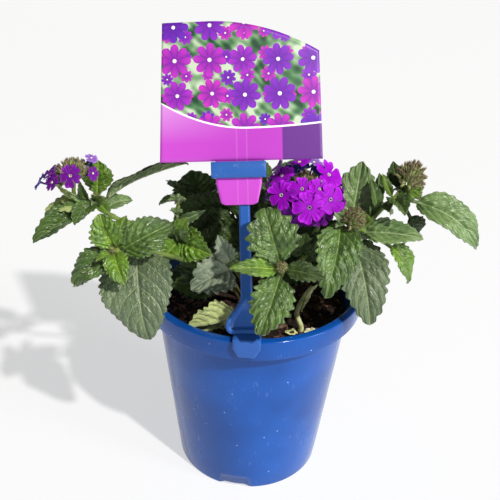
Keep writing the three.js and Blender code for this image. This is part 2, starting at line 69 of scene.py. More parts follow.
camera = bpy.data.objects.new("camera", bpy.data.cameras.new("camera"))
bpy.context.scene.collection.objects.link(camera)
side = Vector(VIEW_RIGHT).normalized()
back = side.cross(Vector(VIEW_UP)).normalized()
turn = Matrix((side, back.cross(side), back)).transposed().to_4x4()
camera.matrix_world = Matrix.Translation(Vector(EYE) * MM) @ turn
camera.data.lens = LENS
camera.data.clip_start = 0.01
bpy.context.scene.camera = camera
print("camera looks down by", round(math.degrees(math.asin(back.z)), 1), "degrees")

# %% [markdown]
# ## Colours and nodes
# Colours are picked as sRGB hex values, the way a paint chart gives them, but a shader works in
# linear light. One function turns them over. A second one adds any node to a tree with its
# settings and links, so that a material reads as a list of what it is made of. The kinds of
# node that come up again and again have a short function of their own.

# %% Colours in linear light
def linear(colour):
    """An sRGB hex value, such as "#2a62b2", as linear red, green, blue and alpha."""
    parts = [int(colour[i:i + 2], 16) / 255 for i in (1, 3, 5)]
    return [c / 12.92 if c <= 0.04045 else ((c + 0.055) / 1.055) ** 2.4 for c in parts] + [1.0]


print("mid blue in linear light:", [round(c, 3) for c in linear("#2a62b2")])

# %% Adding and linking nodes
def add(tree, kind, inputs=None, out=0, stops=None, **settings):
    """Adds a node with its settings, fills or links its inputs, and gives one of its outputs."""
    node = tree.nodes.new("ShaderNode" + kind)
    for name, value in settings.items():
        setattr(node, name, value)
    for socket, value in (inputs or {}).items():
        if isinstance(value, bpy.types.NodeSocket):
            tree.links.new(value, node.inputs[socket])
        else:
            node.inputs[socket].default_value = linear(value) if isinstance(value, str) else value
    for place, (position, colour) in enumerate(stops or []):
        all_stops = node.color_ramp.elements
        stop = all_stops[place] if place < len(all_stops) else all_stops.new(position)
        stop.position = position
        stop.color = linear(colour)
    return node.outputs[out]


print("any node is added by", add.__name__)

# %% Nodes that come up often
def compute(tree, operation, *values):
    """A Math node: the name of its operation, then its values or links in order."""
    return add(tree, "Math", dict(enumerate(values)), operation=operation)


def remap(tree, value, span=(0.0, 1.0), onto=(0.0, 1.0), **settings):
    """Stretches one span of values onto another and holds them at its ends."""
    ends = {"From Min": span[0], "From Max": span[1], "To Min": onto[0], "To Max": onto[1]}
    return add(tree, "MapRange", {"Value": value, **ends}, **settings)


def blend(tree, share, first, second, **settings):
    """Mixes two colours: a share of 0 gives the first, and of 1 the second."""
    return add(tree, "Mix", {0: share, 6: first, 7: second}, out=2, data_type="RGBA", **settings)


def ramp(tree, value, *stops):
    """Colours a value by stops, each a position and a colour."""
    return add(tree, "ValToRGB", {"Fac": value}, stops=stops)


def noise_on(tree, place, scale, detail=2.0, **inputs):
    """Cloudy noise at a place; the scale is in waves to a unit of the place."""
    return add(tree, "TexNoise", {"Vector": place, "Scale": scale, "Detail": detail, **inputs})


def axis(tree, vector, which):
    """One of the three values of a vector."""
    return add(tree, "SeparateXYZ", {0: vector}, out=which)


def bump(tree, height, strength, distance, **inputs):
    """Turns heights into slopes of the surface; the distance is in metres."""
    return add(tree, "Bump", {"Height": height, "Strength": strength, "Distance": distance, **inputs})


print("shorter names for some:", [f.__name__ for f in (compute, remap, blend, ramp, noise_on)])

# %% Starting and ending a material
def start_material(name, **constants):
    """A material with one Principled shader, whose constants are set on its own sockets."""
    material = bpy.data.materials.new(name)
    material.use_nodes = True
    tree = material.node_tree
    shader = tree.nodes["Principled BSDF"]
    for socket, value in constants.items():
        socket = socket.replace("_", " ")
        shader.inputs[socket].default_value = linear(value) if isinstance(value, str) else value
    return material, tree, shader


def link(tree, shader, **sockets):
    """Links outputs to the shader's sockets, such as Base_Color or Normal."""
    for socket, output in sockets.items():
        tree.links.new(output, shader.inputs[socket.replace("_", " ")])


print("a material begins with", start_material.__name__, "and ends with", link.__name__)

# %% [markdown]
# ## The floor and the light
# The pot stands on a light table: a white sheet lit faintly from within, so that shadows on it
# stay pale. The key light is a sun through thin haze, up on the right in front of the plant. It
# is narrow enough that the leaves shade each other, which shows how deep the plant is. A tall
# lamp on the right lays one long highlight down the pot. The table is very wide, with a low wall
# of the same sheet round it, so that no view from the side looks past its end.

# %% Floor
FLOOR_SIZE, WALL_HEIGHT = 28.0, 1.7
paper, tree, shader = start_material("light_table", Roughness=0.9, Specular_IOR_Level=0.1,
                                     Emission_Color="#ffffff", Emission_Strength=0.60)
grain = add(tree, "TexNoise", {"Scale": 26.0, "Detail": 2.0})
link(tree, shader, Base_Color=ramp(tree, grain, (0, "#9fa1a4"), (1, "#a3a5a8")))

mesh = bpy.data.meshes.new("floor")
edge = FLOOR_SIZE / 2
ring = [(-edge, -edge), (edge, -edge), (edge, edge), (-edge, edge)]
corners = [(x, y, z) for z in (0, WALL_HEIGHT) for x, y in ring]
walls = [(i, i + 4, (i + 1) % 4 + 4, (i + 1) % 4) for i in range(4)]
mesh.from_pydata(corners, [], [(0, 1, 2, 3), *walls])
mesh.materials.append(paper)
floor = bpy.data.objects.new("floor", mesh)
bpy.context.scene.collection.objects.link(floor)

print("light table:", FLOOR_SIZE, "m wide, with a wall of", WALL_HEIGHT, "m")

# %% Lamps
world = bpy.data.worlds.new("studio")
bpy.context.scene.world = world
world.use_nodes = True
surround = world.node_tree.nodes["Background"]
surround.inputs["Color"].default_value = linear("#eef1f5")
surround.inputs["Strength"].default_value = 0.11

PLANT_MIDDLE = Vector((0, 0, 150)) * MM


def lamp(name, kind, place, power, colour, **settings):
    """A lamp at a place in millimetres, turned towards the plant."""
    light = bpy.data.lights.new(name, kind)
    light.energy = power
    light.color = linear(colour)[:3]
    for setting, value in settings.items():
        setattr(light, setting, value)
    holder = bpy.data.objects.new(name, light)
    bpy.context.scene.collection.objects.link(holder)
    holder.location = Vector(place) * MM
    holder.rotation_mode = "QUATERNION"
    holder.rotation_quaternion = (PLANT_MIDDLE - holder.location).to_track_quat("-Z", "Y")


lamp("key", "SUN", (590, -655, 1120), 3.5, "#fffaf3", angle=math.radians(2.2))
lamp("side", "AREA", (1800, -840, 520), 20, "#ffffff", shape="RECTANGLE", size=0.44, size_y=1.5)
bpy.context.scene.view_settings.view_transform = "Standard"

# %% [markdown]
# ## Making a piece
# Every piece is a closed skin of points and faces, worked out with numpy. Two ways of making a
# skin serve nearly all of the plant: a sheet, which is one grid of points with a second grid
# behind it and a closed edge, and a tube, which is a section carried along a path. Modifiers
# could make the same shapes, but a leaf with cut teeth is easier to steer point by point.
# Each piece carries its own flat coordinates, so that a vein or a print stays on its surface.

# %% Grids and sheets
def grid_faces(rows, columns, first=0, wrap=False):
    """Four-sided faces between the rows and columns of a grid of points."""
    across = np.arange(columns if wrap else columns - 1)
    row, column = (a.ravel() for a in np.meshgrid(np.arange(rows - 1), across, indexing="ij"))
    after = (column + 1) % columns
    here, above = row * columns, (row + 1) * columns
    return (np.stack([here + column, here + after, above + after, above + column], 1) + first).tolist()


def sheet(front, behind):
    """Closes two equal grids of points, shaped rows x columns x 3, into one thin skin."""
    rows, columns = front.shape[:2]
    count = rows * columns
    faces = grid_faces(rows, columns)
    faces += [face[::-1] for face in grid_faces(rows, columns, count)]
    place = np.arange(count).reshape(rows, columns)
    border = [*place[0, :-1], *place[:-1, -1], *place[-1, :0:-1], *place[:0:-1, 0]]
    for a, b in zip(border, border[1:] + border[:1]):
        faces.append([int(b), int(a), int(a) + count, int(b) + count])
    return np.concatenate([front.reshape(-1, 3), behind.reshape(-1, 3)]), faces


print("a grid of 4 by 5 points has", len(grid_faces(4, 5)), "faces")

# %% Directions and curves
def unit(vector):
    """The same direction, one unit long; also for an array of vectors."""
    vector = np.asarray(vector, float)
    return vector / np.maximum(np.linalg.norm(vector, axis=-1, keepdims=True), 1e-9)


def bezier(start, bend, end, t):
    """Points on a curve that leaves its start towards the bend and comes from it to its end."""
    return (1 - t) ** 2 * start + 2 * t * (1 - t) * bend + t * t * end


def distance_along(path):
    """How far along a path each of its points lies."""
    return np.concatenate([[0], np.cumsum(np.linalg.norm(np.diff(path, axis=0), axis=1))])


def round_angles(count):
    """Angles at equal steps once round a circle."""
    return np.arange(count) * 2 * math.pi / count


def smoothstep(low, high, value):
    """0 below low, 1 above high, and a smooth rise between them."""
    t = np.clip((np.asarray(value, float) - low) / (high - low), 0, 1)
    return t * t * (3 - 2 * t)


print("a smooth step, half way up:", float(smoothstep(0, 1, 0.5)))

# %% Tubes
def carried_frames(path):
    """Two directions across a path at each of its points, turned as little as possible."""
    path = np.asarray(path, float)
    along = unit(np.gradient(path, axis=0))
    across = [unit(np.cross(along[0], (0.31, 0.17, 0.93) if abs(along[0][2]) < 0.9 else (1, 0.1, 0)))]
    for direction in along[1:]:
        across.append(unit(across[-1] - direction * np.dot(across[-1], direction)))
    across = np.array(across)
    return across, np.cross(along, across)


def tube(path, radii, sides=8, square=0.0):
    """A closed tube round a path, with its own radius at each point, square up to a share."""
    across, beside = carried_frames(path)
    angle = round_angles(sides)
    bulge = 1 + square * np.cos(4 * angle)
    cosine, sine = np.cos(angle)[None, :, None], np.sin(angle)[None, :, None]
    ring = cosine * across[:, None] + sine * beside[:, None]
    points = np.asarray(path, float)[:, None] + ring * (np.asarray(radii)[:, None] * bulge)[..., None]
    rows = len(points)
    faces = grid_faces(rows, sides, wrap=True)
    faces += [list(range(sides))[::-1], list(range((rows - 1) * sides, rows * sides))]
    return points.reshape(-1, 3), faces


short_tube = tube([(0, 0, 0), (0, 0, 1), (0, 0, 2)], [1, 1, 1])
print("a tube with 3 rings and 8 sides has", len(short_tube[0]), "points")

# %% The skin of a piece
class Skin:
    """Gathers the closed shells of one piece, each turned so that its faces look outwards."""

    def __init__(self):
        self.points, self.faces, self.maps, self.count = [], [], {}, 0

    def take(self, points, faces, **maps):
        """Adds a shell. Each map holds two values for every point, or one pair for them all."""
        points = np.asarray(points, float)
        around = points - points.mean(axis=0)
        fans = [(f[0], f[i], f[i + 1]) for f in faces for i in range(1, len(f) - 1)]
        a, b, c = (around[[fan[k] for fan in fans]] for k in range(3))
        if np.einsum("ij,ij->", a, np.cross(b, c)) < 0:
            faces = [face[::-1] for face in faces]
        self.points.append(points)
        self.faces += [[i + self.count for i in face] for face in faces]
        for name, values in maps.items():
            self.maps.setdefault(name, []).append(np.broadcast_to(values, (len(points), 2)))
        self.count += len(points)

    def finish(self, name, material, slot, nodes=(), smooth=True):
        """Makes the object, in metres, in the frame's own coordinates."""
        mesh = bpy.data.meshes.new(name)
        mesh.from_pydata((np.concatenate(self.points) * MM).tolist(), [], self.faces)
        mesh.polygons.foreach_set("use_smooth", [smooth] * len(mesh.polygons))
        corner = np.empty(len(mesh.loops), int)
        mesh.loops.foreach_get("vertex_index", corner)
        for layer, values in self.maps.items():
            uv = mesh.uv_layers.new(name=layer)
            uv.uv.foreach_set("vector", np.concatenate(values)[corner].astype(np.float32).ravel())
        mesh.materials.append(material)
        made = bpy.data.objects.new(name, mesh)
        bpy.context.scene.collection.objects.link(made)
        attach(made, "root")
        if nodes:
            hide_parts(*nodes)
        return made


trial = Skin()
trial.take(*short_tube)
print("as a closed skin it has", len(trial.faces), "faces")

# %% Rounded corners
def rounded(profile, radii, steps=4):
    """A line of corners with each corner cut to a curve; a radius of 0 keeps it sharp."""
    points = []
    for i, (corner, radius) in enumerate(zip(profile, radii)):
        corner = np.array(corner, float)
        if not radius:
            points.append(corner)
            continue
        start = corner + unit(np.array(profile[i - 1], float) - corner) * radius
        end = corner + unit(np.array(profile[(i + 1) % len(profile)], float) - corner) * radius
        for t in np.linspace(0, 1, steps):
            points.append(bezier(start, corner, end, t))
    return np.array(points)


print("a rounded square has", len(rounded([(0, 0), (1, 0), (1, 1), (0, 1)], [0.2] * 4)), "points")

# %% [markdown]
# ## The pot's plastic
# Nursery pots are injection-moulded polypropylene, coloured right through. The mould is
# polished, so the skin is glossy: a roughness near 0.16 and the plastic's IOR of 1.49. What
# keeps it from looking like glass is the slight waviness of a thin wall, about 25 mm from wave
# to wave, fine scuffs that run mostly upright from stacking, and specks of dust and potting
# mix. The same plastic from a duller mould, with a roughness of 0.38, makes the label's clip.

# %% Moulded polypropylene
DUST_SCALE = 240.0


def moulded_polypropylene(name, colour, shade, roughness, dirt):
    """Coloured polypropylene. The dirt is the share of specks that show."""
    material, tree, shader = start_material(name, Roughness=roughness, IOR=1.49, Specular_IOR_Level=0.34)
    place = add(tree, "TexCoord", out="Object")
    body = ramp(tree, noise_on(tree, place, 22.0, 3.0), (0.35, shade), (0.65, colour))
    upright = add(tree, "Mapping", {"Vector": place, "Scale": (1.0, 1.0, 0.12)})
    scuff_noise = noise_on(tree, upright, 900.0, 4.0)
    patches = noise_on(tree, place, 45.0)
    scuff = remap(tree, scuff_noise, (0.62, 0.74), (0.0, 0.30))
    worn = remap(tree, patches, (0.52, 0.68))
    scuffed = compute(tree, "MULTIPLY", scuff, worn)
    body = blend(tree, scuffed, body, "#a9c2e6")
    speck = add(tree, "TexVoronoi", {"Vector": place, "Scale": DUST_SCALE})
    tint = add(tree, "TexVoronoi", {"Vector": place, "Scale": DUST_SCALE}, out="Color")
    tone = add(tree, "SeparateColor", {"Color": tint})
    chosen = compute(tree, "GREATER_THAN", tone, 1.0 - dirt)
    small = compute(tree, "LESS_THAN", speck, 0.085)
    dust = compute(tree, "MULTIPLY", chosen, small)
    blue_part = add(tree, "SeparateColor", {"Color": tint}, out=2)
    body = blend(tree, dust, body, ramp(tree, blue_part, (0.25, "#5a4a42"), (0.45, "#c9d6ea")))
    gloss = remap(tree, worn, onto=(roughness, roughness + 0.12))
    waved = bump(tree, noise_on(tree, place, 40.0, 1.0), 0.25, 0.0012)
    bumped = bump(tree, scuff_noise, 0.12, 0.0001, Normal=waved)
    link(tree, shader, Base_Color=body, Roughness=gloss, Normal=bumped)
    return material


pot_plastic = moulded_polypropylene("pot_polypropylene", "#0b52aa", "#0a4492", 0.16, 0.16)
clip_plastic = moulded_polypropylene("clip_polypropylene", "#2c5fae", "#2555a2", 0.38, 0.03)
print("plastics:", pot_plastic.name, clip_plastic.name)

# %% [markdown]
# ## The pot
# The wall is 1.4 mm thick and widens upwards. Near the top it steps out to the rim, whose
# skirt hangs down on the outside, so that pots stack without jamming. The floor is lifted and
# the foot ring is notched for draining. A profile turned about the pot's axis is how the mould
# itself was cut, so the same is done here: one closed outline, its corners rounded, swept round
# in fine steps. The notches lift the foot ring's points, and four holes are cut through the
# floor with a Boolean modifier. Pieces that sit in or on the pot stand clear of it by a hair.

# %% Pot profile
POT_HEIGHT, POT_WALL, FLOOR_LIFT = 136.0, 1.4, 4.0
RIM_RADIUS, RIM_INNER_RADIUS, RIM_BAND = 70.0, 65.0, 13.5
SHOULDER_RADIUS, BASE_RADIUS = 61.8, 47.6
FOOT_RADIUS, FLOOR_SLOPE, FOOT_RING = 14.0, 6.0, 2.6
NOTCHES, NOTCH_WIDTH, NOTCH_HEIGHT, NOTCH_START = 4, 22.0, 3.2, math.radians(-97)
DRAIN_RADIUS, DRAIN_INSET = 3.5, 9.0
SOIL_LEVEL, CLEAR = 118.0, 0.3

band_bottom = POT_HEIGHT - RIM_BAND
wall_slope = (SHOULDER_RADIUS - BASE_RADIUS) / band_bottom


def pot_outline():
    """The closed half section: radius, height and the rounding of each corner."""
    ledge, floor_top = POT_HEIGHT - POT_WALL, FLOOR_LIFT + POT_WALL
    rows = [
        (0, 0, 0), (FOOT_RADIUS, 0, 1), (FOOT_RADIUS + FLOOR_SLOPE, FLOOR_LIFT, 1),
        (BASE_RADIUS - FOOT_RING - 0.2, FLOOR_LIFT, 0.6), (BASE_RADIUS - FOOT_RING, 0, 0.5),
        (BASE_RADIUS, 0, 1.2), (SHOULDER_RADIUS, band_bottom, 1.5),
        (RIM_INNER_RADIUS + POT_WALL - 0.2, band_bottom + 6, 2),
        (RIM_INNER_RADIUS + POT_WALL, ledge, 0.4),
        (RIM_RADIUS - POT_WALL - 0.1, ledge, 0.4), (RIM_RADIUS - 1 - POT_WALL, band_bottom, 0.5),
        (RIM_RADIUS - 1, band_bottom, 0.6), (RIM_RADIUS, POT_HEIGHT - 0.2, 1.3),
        (RIM_INNER_RADIUS, POT_HEIGHT, 1.2), (RIM_INNER_RADIUS - 0.2, band_bottom + 6.5, 2),
        (SHOULDER_RADIUS - POT_WALL, band_bottom, 2),
        (BASE_RADIUS + wall_slope * floor_top - POT_WALL, floor_top, 1),
        (FOOT_RADIUS + FLOOR_SLOPE + 0.5, floor_top, 1), (FOOT_RADIUS + 0.5, POT_WALL, 1), (0, POT_WALL, 0),
    ]
    return rounded([row[:2] for row in rows], [row[2] for row in rows], 5)


print("the pot's half section has", len(pot_outline()), "points")

# %% Turning a profile
def split_long(outline, longest):
    """Adds points so that no stretch of an outline is longer than the given length."""
    points = [outline[0]]
    for corner in outline[1:]:
        parts = max(1, math.ceil(np.linalg.norm(corner - points[-1]) / longest))
        points += [points[-1] + (corner - points[-1]) * i / parts for i in range(1, parts + 1)]
    return np.array(points)


def turned(outline, segments):
    """Turns a half section, which starts and ends on the axis, about the Z axis."""
    angle = round_angles(segments)
    rings = outline[1:-1]
    x = rings[:, 0, None] * np.cos(angle)
    y = rings[:, 0, None] * np.sin(angle)
    z = np.repeat(rings[:, 1, None], segments, 1)
    points = np.stack([x, y, z], 2).reshape(-1, 3)
    faces = grid_faces(len(rings), segments, wrap=True)
    low, high, last = len(points), len(points) + 1, len(points) - segments
    for i in range(segments):
        after = (i + 1) % segments
        faces += [[low, after, i], [high, last + i, last + after]]
    poles = [(0, 0, outline[0, 1]), (0, 0, outline[-1, 1])]
    return np.concatenate([points, poles]), faces

pot_section = split_long(pot_outline(), 12)
print("with its long stretches split it has", len(pot_section))

# %% Turn the pot and notch its foot
points, faces = turned(pot_section, 216)
radius = np.hypot(points[:, 0], points[:, 1])
in_foot_ring = (radius > BASE_RADIUS - 4) & (points[:, 2] < FLOOR_LIFT) & (points[:, 2] > -1)
notch_ways = [NOTCH_START + i * 2 * math.pi / NOTCHES for i in range(NOTCHES)]
for way in notch_ways:
    across = -points[:, 0] * math.sin(way) + points[:, 1] * math.cos(way)
    ahead = points[:, 0] * math.cos(way) + points[:, 1] * math.sin(way)
    opened = smoothstep(NOTCH_WIDTH / 2 + 1, NOTCH_WIDTH / 2 - 5, np.abs(across))
    lift = NOTCH_HEIGHT * opened * (ahead > 0)
    raised = np.maximum(points[:, 2], lift * (1 - points[:, 2] / 40))
    points[:, 2] = np.where(in_foot_ring, raised, points[:, 2])
skin = Skin()
skin.take(points, faces)
pot = skin.finish("pot_moulded", pot_plastic, "pot_plastic", ["pot"])

print("pot as turned:", len(faces), "faces, with", NOTCHES, "notches")

# %% Drain holes
drills = []
drain_reach = BASE_RADIUS - DRAIN_INSET
for way in notch_ways:
    centre = np.array([drain_reach * math.cos(way), drain_reach * math.sin(way), 0])
    drill_points, drill_faces = tube([centre + (0, 0, z) for z in (2, 4, 6, 8)], [DRAIN_RADIUS] * 4, 24)
    mesh = bpy.data.meshes.new("drill")
    mesh.from_pydata((drill_points * MM).tolist(), [], drill_faces)
    drills.append(bpy.data.objects.new("drill", mesh))
    bpy.context.scene.collection.objects.link(drills[-1])
    cut = pot.modifiers.new("drain", "BOOLEAN")
    cut.operation = "DIFFERENCE"
    cut.object = drills[-1]
bpy.context.view_layer.update()
drilled = bpy.data.meshes.new_from_object(pot.evaluated_get(bpy.context.evaluated_depsgraph_get()))
pot.modifiers.clear()
pot.data = drilled
for drill in drills:
    bpy.data.objects.remove(drill)
print("pot:", len(pot.data.polygons), "faces, with", NOTCHES, "drain holes")

# %% [markdown]
# ## The potting mix
# The pot is filled with composted bark, damp and nearly black, with pinkish-brown chips of
# fresher bark and a few pale grains on top. The surface is lumpy at two scales: clods 10 to
# 20 mm wide, and crumbs of 2 to 3 mm. It is a turned plug whose top is lifted by noise, and on
# it lie loose chips, each a small box with every corner pushed its own way, because a chip of
# bark breaks into flat uneven slabs.

# %% Composted bark
bark, tree, shader = start_material("composted_bark", Roughness=0.92, Specular_IOR_Level=0.25)
place = add(tree, "TexCoord", out="Object")
crumb = noise_on(tree, place, 420.0, 6.0, Roughness=0.7)
colour = ramp(tree, crumb, (0.3, "#0d0907"), (0.5, "#1f1511"), (0.62, "#3b2a22"), (0.75, "#57443a"))
link(tree, shader, Base_Color=colour, Normal=bump(tree, crumb, 0.9, 0.0012))

chips, tree, shader = start_material("bark_chips", Roughness=0.85, Specular_IOR_Level=0.3)
place = add(tree, "TexCoord", out="Object")
which = noise_on(tree, place, 90.0, 1.0)
fibre = noise_on(tree, place, 700.0, 4.0)
tone = ramp(tree, which, (0.3, "#2a1b15"), (0.45, "#4a3027"), (0.58, "#7b5648"), (0.7, "#a58a76"))
streak = ramp(tree, fibre, (0.3, "#6a6a6a"), (0.7, "#ffffff"))
tone = blend(tree, 1.0, tone, streak, blend_type="MULTIPLY")
link(tree, shader, Base_Color=tone, Normal=bump(tree, fibre, 0.6, 0.0006))
print("finishes of the mix:", bark.name, "and", chips.name)

# %% Fill the pot
CLOD_SIZE, CLOD_HEIGHT, CRUMB_SIZE, CRUMB_HEIGHT = 14, 1.5, 3.2, 0.7


def soil_height(x, y):
    """The top of the potting mix over a place, in millimetres."""
    clod = noise.fractal(Vector((x, y, 3.0)) / CLOD_SIZE, 1.0, 2.0, 3)
    crumb = noise.fractal(Vector((x, y, 7.0)) / CRUMB_SIZE, 1.0, 2.0, 2)
    return SOIL_LEVEL + CLEAR + CLOD_HEIGHT * clod + CRUMB_HEIGHT * crumb


soil_radius = BASE_RADIUS + wall_slope * SOIL_LEVEL - POT_WALL - CLEAR
top = [(soil_radius * i / 48, SOIL_LEVEL) for i in range(48, 0, -1)]
over_foot, over_floor = POT_WALL + CLEAR, FLOOR_LIFT + POT_WALL + 0.4
plug = [(0, over_foot), (FOOT_RADIUS, over_foot), (FOOT_RADIUS + FLOOR_SLOPE, over_floor),
        (BASE_RADIUS - POT_WALL - 0.1, over_floor), *top, (0, SOIL_LEVEL)]
points, faces = turned(np.array(plug, float), 150)
for point in points:
    if point[2] > SOIL_LEVEL - 1:
        point[2] = soil_height(point[0], point[1])
skin = Skin()
skin.take(points, faces)
skin.finish("potting_mix_top", bark, "potting_mix", ["potting_mix"])

print("potting mix up to", round(float(points[:, 2].max()), 1), "mm")

# %% Loose chips of bark
random.seed(11)
CHIP_COUNT, CHIP_SIZES = 620, (1.0, 1.0, 1.4, 1.9, 2.7)
CHIP_CORNERS = np.array([(x, y, z) for x in (-1, 1) for y in (-1, 1) for z in (-1, 1)], float)
CHIP_FACES = [[0, 1, 3, 2], [4, 6, 7, 5], [0, 4, 5, 1], [2, 3, 7, 6], [0, 2, 6, 4], [1, 5, 7, 3]]
skin = Skin()
for i in range(CHIP_COUNT):
    reach, angle = (soil_radius - 2) * math.sqrt(random.random()), random.uniform(0, 2 * math.pi)
    x, y = reach * math.cos(angle), reach * math.sin(angle)
    size = random.choice(CHIP_SIZES) * random.uniform(0.7, 1.2)
    shape = (size, size * random.uniform(0.4, 0.8), size * random.uniform(0.2, 0.45))
    chip = CHIP_CORNERS * shape * [[random.uniform(0.6, 1.1) for _ in range(3)] for _ in range(8)]
    spin = Matrix.Rotation(random.uniform(0, 6.28), 3, "Z")
    spin = spin @ Matrix.Rotation(random.uniform(-0.5, 0.5), 3, "X")
    place = (x, y, soil_height(x, y) + shape[2] * 0.6)
    skin.take(chip @ np.array(spin).T + place, CHIP_FACES)
skin.finish("bark_chips", chips, "potting_mix", smooth=False)
print("chips:", CHIP_COUNT, "with", len(skin.faces), "faces")

# %% [markdown]
# ## The label's clip
# The clip is one moulding of softer blue polypropylene. A flap hooks over the rim's front and a
# leg follows the rim's inside. On the hook stands a bell-shaped shield with a raised lip round
# a dished middle, which runs up into a flat stem, and at the top sits a wide head with a slot
# for the label. It is all drawn in the clip's own frame, X across, Y up the stem and Z out of
# its front, and then leaned back by 25 degrees, because it was moulded flat and leans as a whole.

# %% Clip frame
CLIP_LEAN, CLIP_TILT = math.radians(25), math.radians(4.4)
SHIELD_WIDTH, SHIELD_HEIGHT, STEM_WIDTH, STEM_DEPTH = 24.6, 22.0, 6.6, 3.2
HEAD_BOTTOM, HEAD_HEIGHT, HEAD_WIDTH, HEAD_DEPTH, HEAD_OFFSET = 88.0, 9.0, 30.4, 4.8, -2.5
TONGUE_WIDTH, TONGUE_END_WIDTH, TONGUE_LENGTH, SLOT_DEPTH = 25.4, 20.0, 15.0, 1.5

clip_axes = np.array([(1, 0, 0), (0, math.sin(CLIP_LEAN), math.cos(CLIP_LEAN)),
                      (0, -math.cos(CLIP_LEAN), math.sin(CLIP_LEAN))])
tilt = np.array(Matrix.Rotation(CLIP_TILT, 3, "Z"))
clip_foot = np.array([0, -RIM_RADIUS + 3.4, POT_HEIGHT + 3])
head_top = HEAD_BOTTOM + HEAD_HEIGHT


def on_clip(points):
    """Points drawn in the clip's frame, placed on the pot."""
    return np.asarray(points, float) @ tilt.T @ clip_axes + clip_foot


print("the head's top is at", on_clip([(0, head_top, 0)])[0].round(1), "mm")

# %% Shield and stem
LIP = 2.3


def shield_half_width(y):
    """Half the clip's width at a height: a bell at the foot that draws in to the stem."""
    corner = 4.5
    foot = SHIELD_WIDTH / 2 - corner + math.sqrt(max(0, corner ** 2 - max(0, corner - y) ** 2))
    drawn_in = foot + (STEM_WIDTH / 2 - foot) * float(smoothstep(5, SHIELD_HEIGHT, y))
    return drawn_in if y < SHIELD_HEIGHT else STEM_WIDTH / 2 - 0.3 * (y - SHIELD_HEIGHT) / 70


heights = np.concatenate([np.linspace(0, 6, 22), np.linspace(6.4, 26, 34),
                          np.linspace(28, HEAD_BOTTOM + 4, 18)])
columns = np.sin(np.linspace(-1, 1, 33) * math.pi / 2)
front = np.zeros((len(heights), len(columns), 3))
for i, y in enumerate(heights):
    half = shield_half_width(y)
    inward = (1 - np.abs(columns)) * half
    edge = np.minimum(inward, y)
    dish = smoothstep(LIP, LIP + 2.2, edge) * smoothstep(2.5, 8, half)
    rim_round = 1.1 * (1 - np.clip(edge / 1.1, 0, 1)) ** 2
    crown = 0.9 * smoothstep(SHIELD_HEIGHT - 3, SHIELD_HEIGHT + 5, y)
    depth = -0.2 - 2.0 * dish - rim_round - crown
    front[i] = np.stack([columns * half, np.full(len(columns), y), depth], 1)
behind = front.copy()
behind[..., 2] = -1 - STEM_DEPTH
skin = Skin()
points, faces = sheet(front, behind)
skin.take(on_clip(points), faces)

# %% [markdown]
# ### Its head
# The head is wider than the label's tongue, and its slot goes right through. A Boolean would cut
# the slot too, but it leaves sharp edges, so the head is drawn as rings instead: up the outside,
# with a small step in at both ends where the mould is eased, and down again inside the slot.

# %% Slotted head
def ring_block(outer, inner, levels):
    """A block with a slot through it: outer and inner outlines, and (height, inset) levels."""
    middle = outer.mean(0)
    rings = []
    for height, inset in levels:
        shrink = 1 - inset / np.abs(outer - middle).max(0)
        rings.append(np.column_stack([middle + (outer - middle) * shrink, np.full(len(outer), height)]))
    for height, _ in (levels[-1], levels[0]):
        rings.append(np.column_stack([inner, np.full(len(inner), height)]))
    rings.append(rings[0])
    points = np.array(rings)[:, :, (0, 2, 1)]
    count = len(outer)
    joined = (len(rings) - 1) * count
    faces = [[i % joined for i in face] for face in grid_faces(len(rings), count, wrap=True)]
    return points[:-1].reshape(-1, 3), faces


def box_outline(width, depth, corner, spread=48):
    """A rounded rectangle as evenly turned points."""
    angle = round_angles(spread)
    x, y = (np.sign(a) * np.abs(a) ** (2 / corner) for a in (np.cos(angle), np.sin(angle)))
    return np.column_stack([x * width / 2, y * depth / 2])


outer = box_outline(HEAD_WIDTH, HEAD_DEPTH, 14) + (HEAD_OFFSET, 0.2)
inner = box_outline(TONGUE_WIDTH + 1, SLOT_DEPTH, 14) + (HEAD_OFFSET, 0)
levels = [(HEAD_BOTTOM, 0.35), (HEAD_BOTTOM + 0.3, 0), (head_top - 0.3, 0), (head_top, 0.35)]
points, faces = ring_block(outer, inner, levels)
skin.take(on_clip(points), faces)

# %% [markdown]
# ### Its hook
# Flap, bridge and leg are one strip that is bent over the rim. Its outer line is listed once, and
# the strip gets its thickness by stepping inwards from that line at every point.

# %% Hook over the rim
# each point of the outer line: Y, Z and half the strip's width
HOOK_THICKNESS = 1.7
hook = np.array([
    (-72.2, 126.9, 4.6), (-72.2, 129.9, 6.4), (-72.2, 132.9, 8.0), (-72.2, 137.2, 8.0), (-71.7, 138.5, 8.0),
    (-70.4, 138.9, 8.0), (-66.0, 138.9, 8.0), (-63.2, 138.9, 8.0), (-62.2, 138.4, 6.2), (-61.6, 136.3, 6.0),
    (-61.3, 129.8, 6.0), (-58.6, 124.4, 6.0), (-57.2, 122.2, 6.0), (-57.2, 119.2, 6.0)])
steps = np.linspace(0, len(hook) - 1, 60)
outside = np.column_stack([np.interp(steps, range(len(hook)), hook[:, i]) for i in range(3)])
along = unit(np.gradient(outside[:, :2], axis=0))
inward = np.column_stack([along[:, 1], -along[:, 0]])
columns = np.linspace(-1, 1, 15)
soften = 0.35 * (1 - np.sqrt(np.clip(1 - np.abs(columns) ** 12, 0, 1)))
front, behind = (np.zeros((len(steps), len(columns), 3)) for _ in range(2))
for grid, depth in ((front, soften), (behind, HOOK_THICKNESS - soften)):
    grid[..., 0] = outside[:, 2, None] * columns
    grid[..., 1:] = outside[:, None, :2] + inward[:, None] * depth[None, :, None]
points, faces = sheet(front, behind)
skin.take(points, faces)
skin.finish("clip_moulded", clip_plastic, "clip_plastic", ["label_clip"])
print("clip:", skin.count, "points")

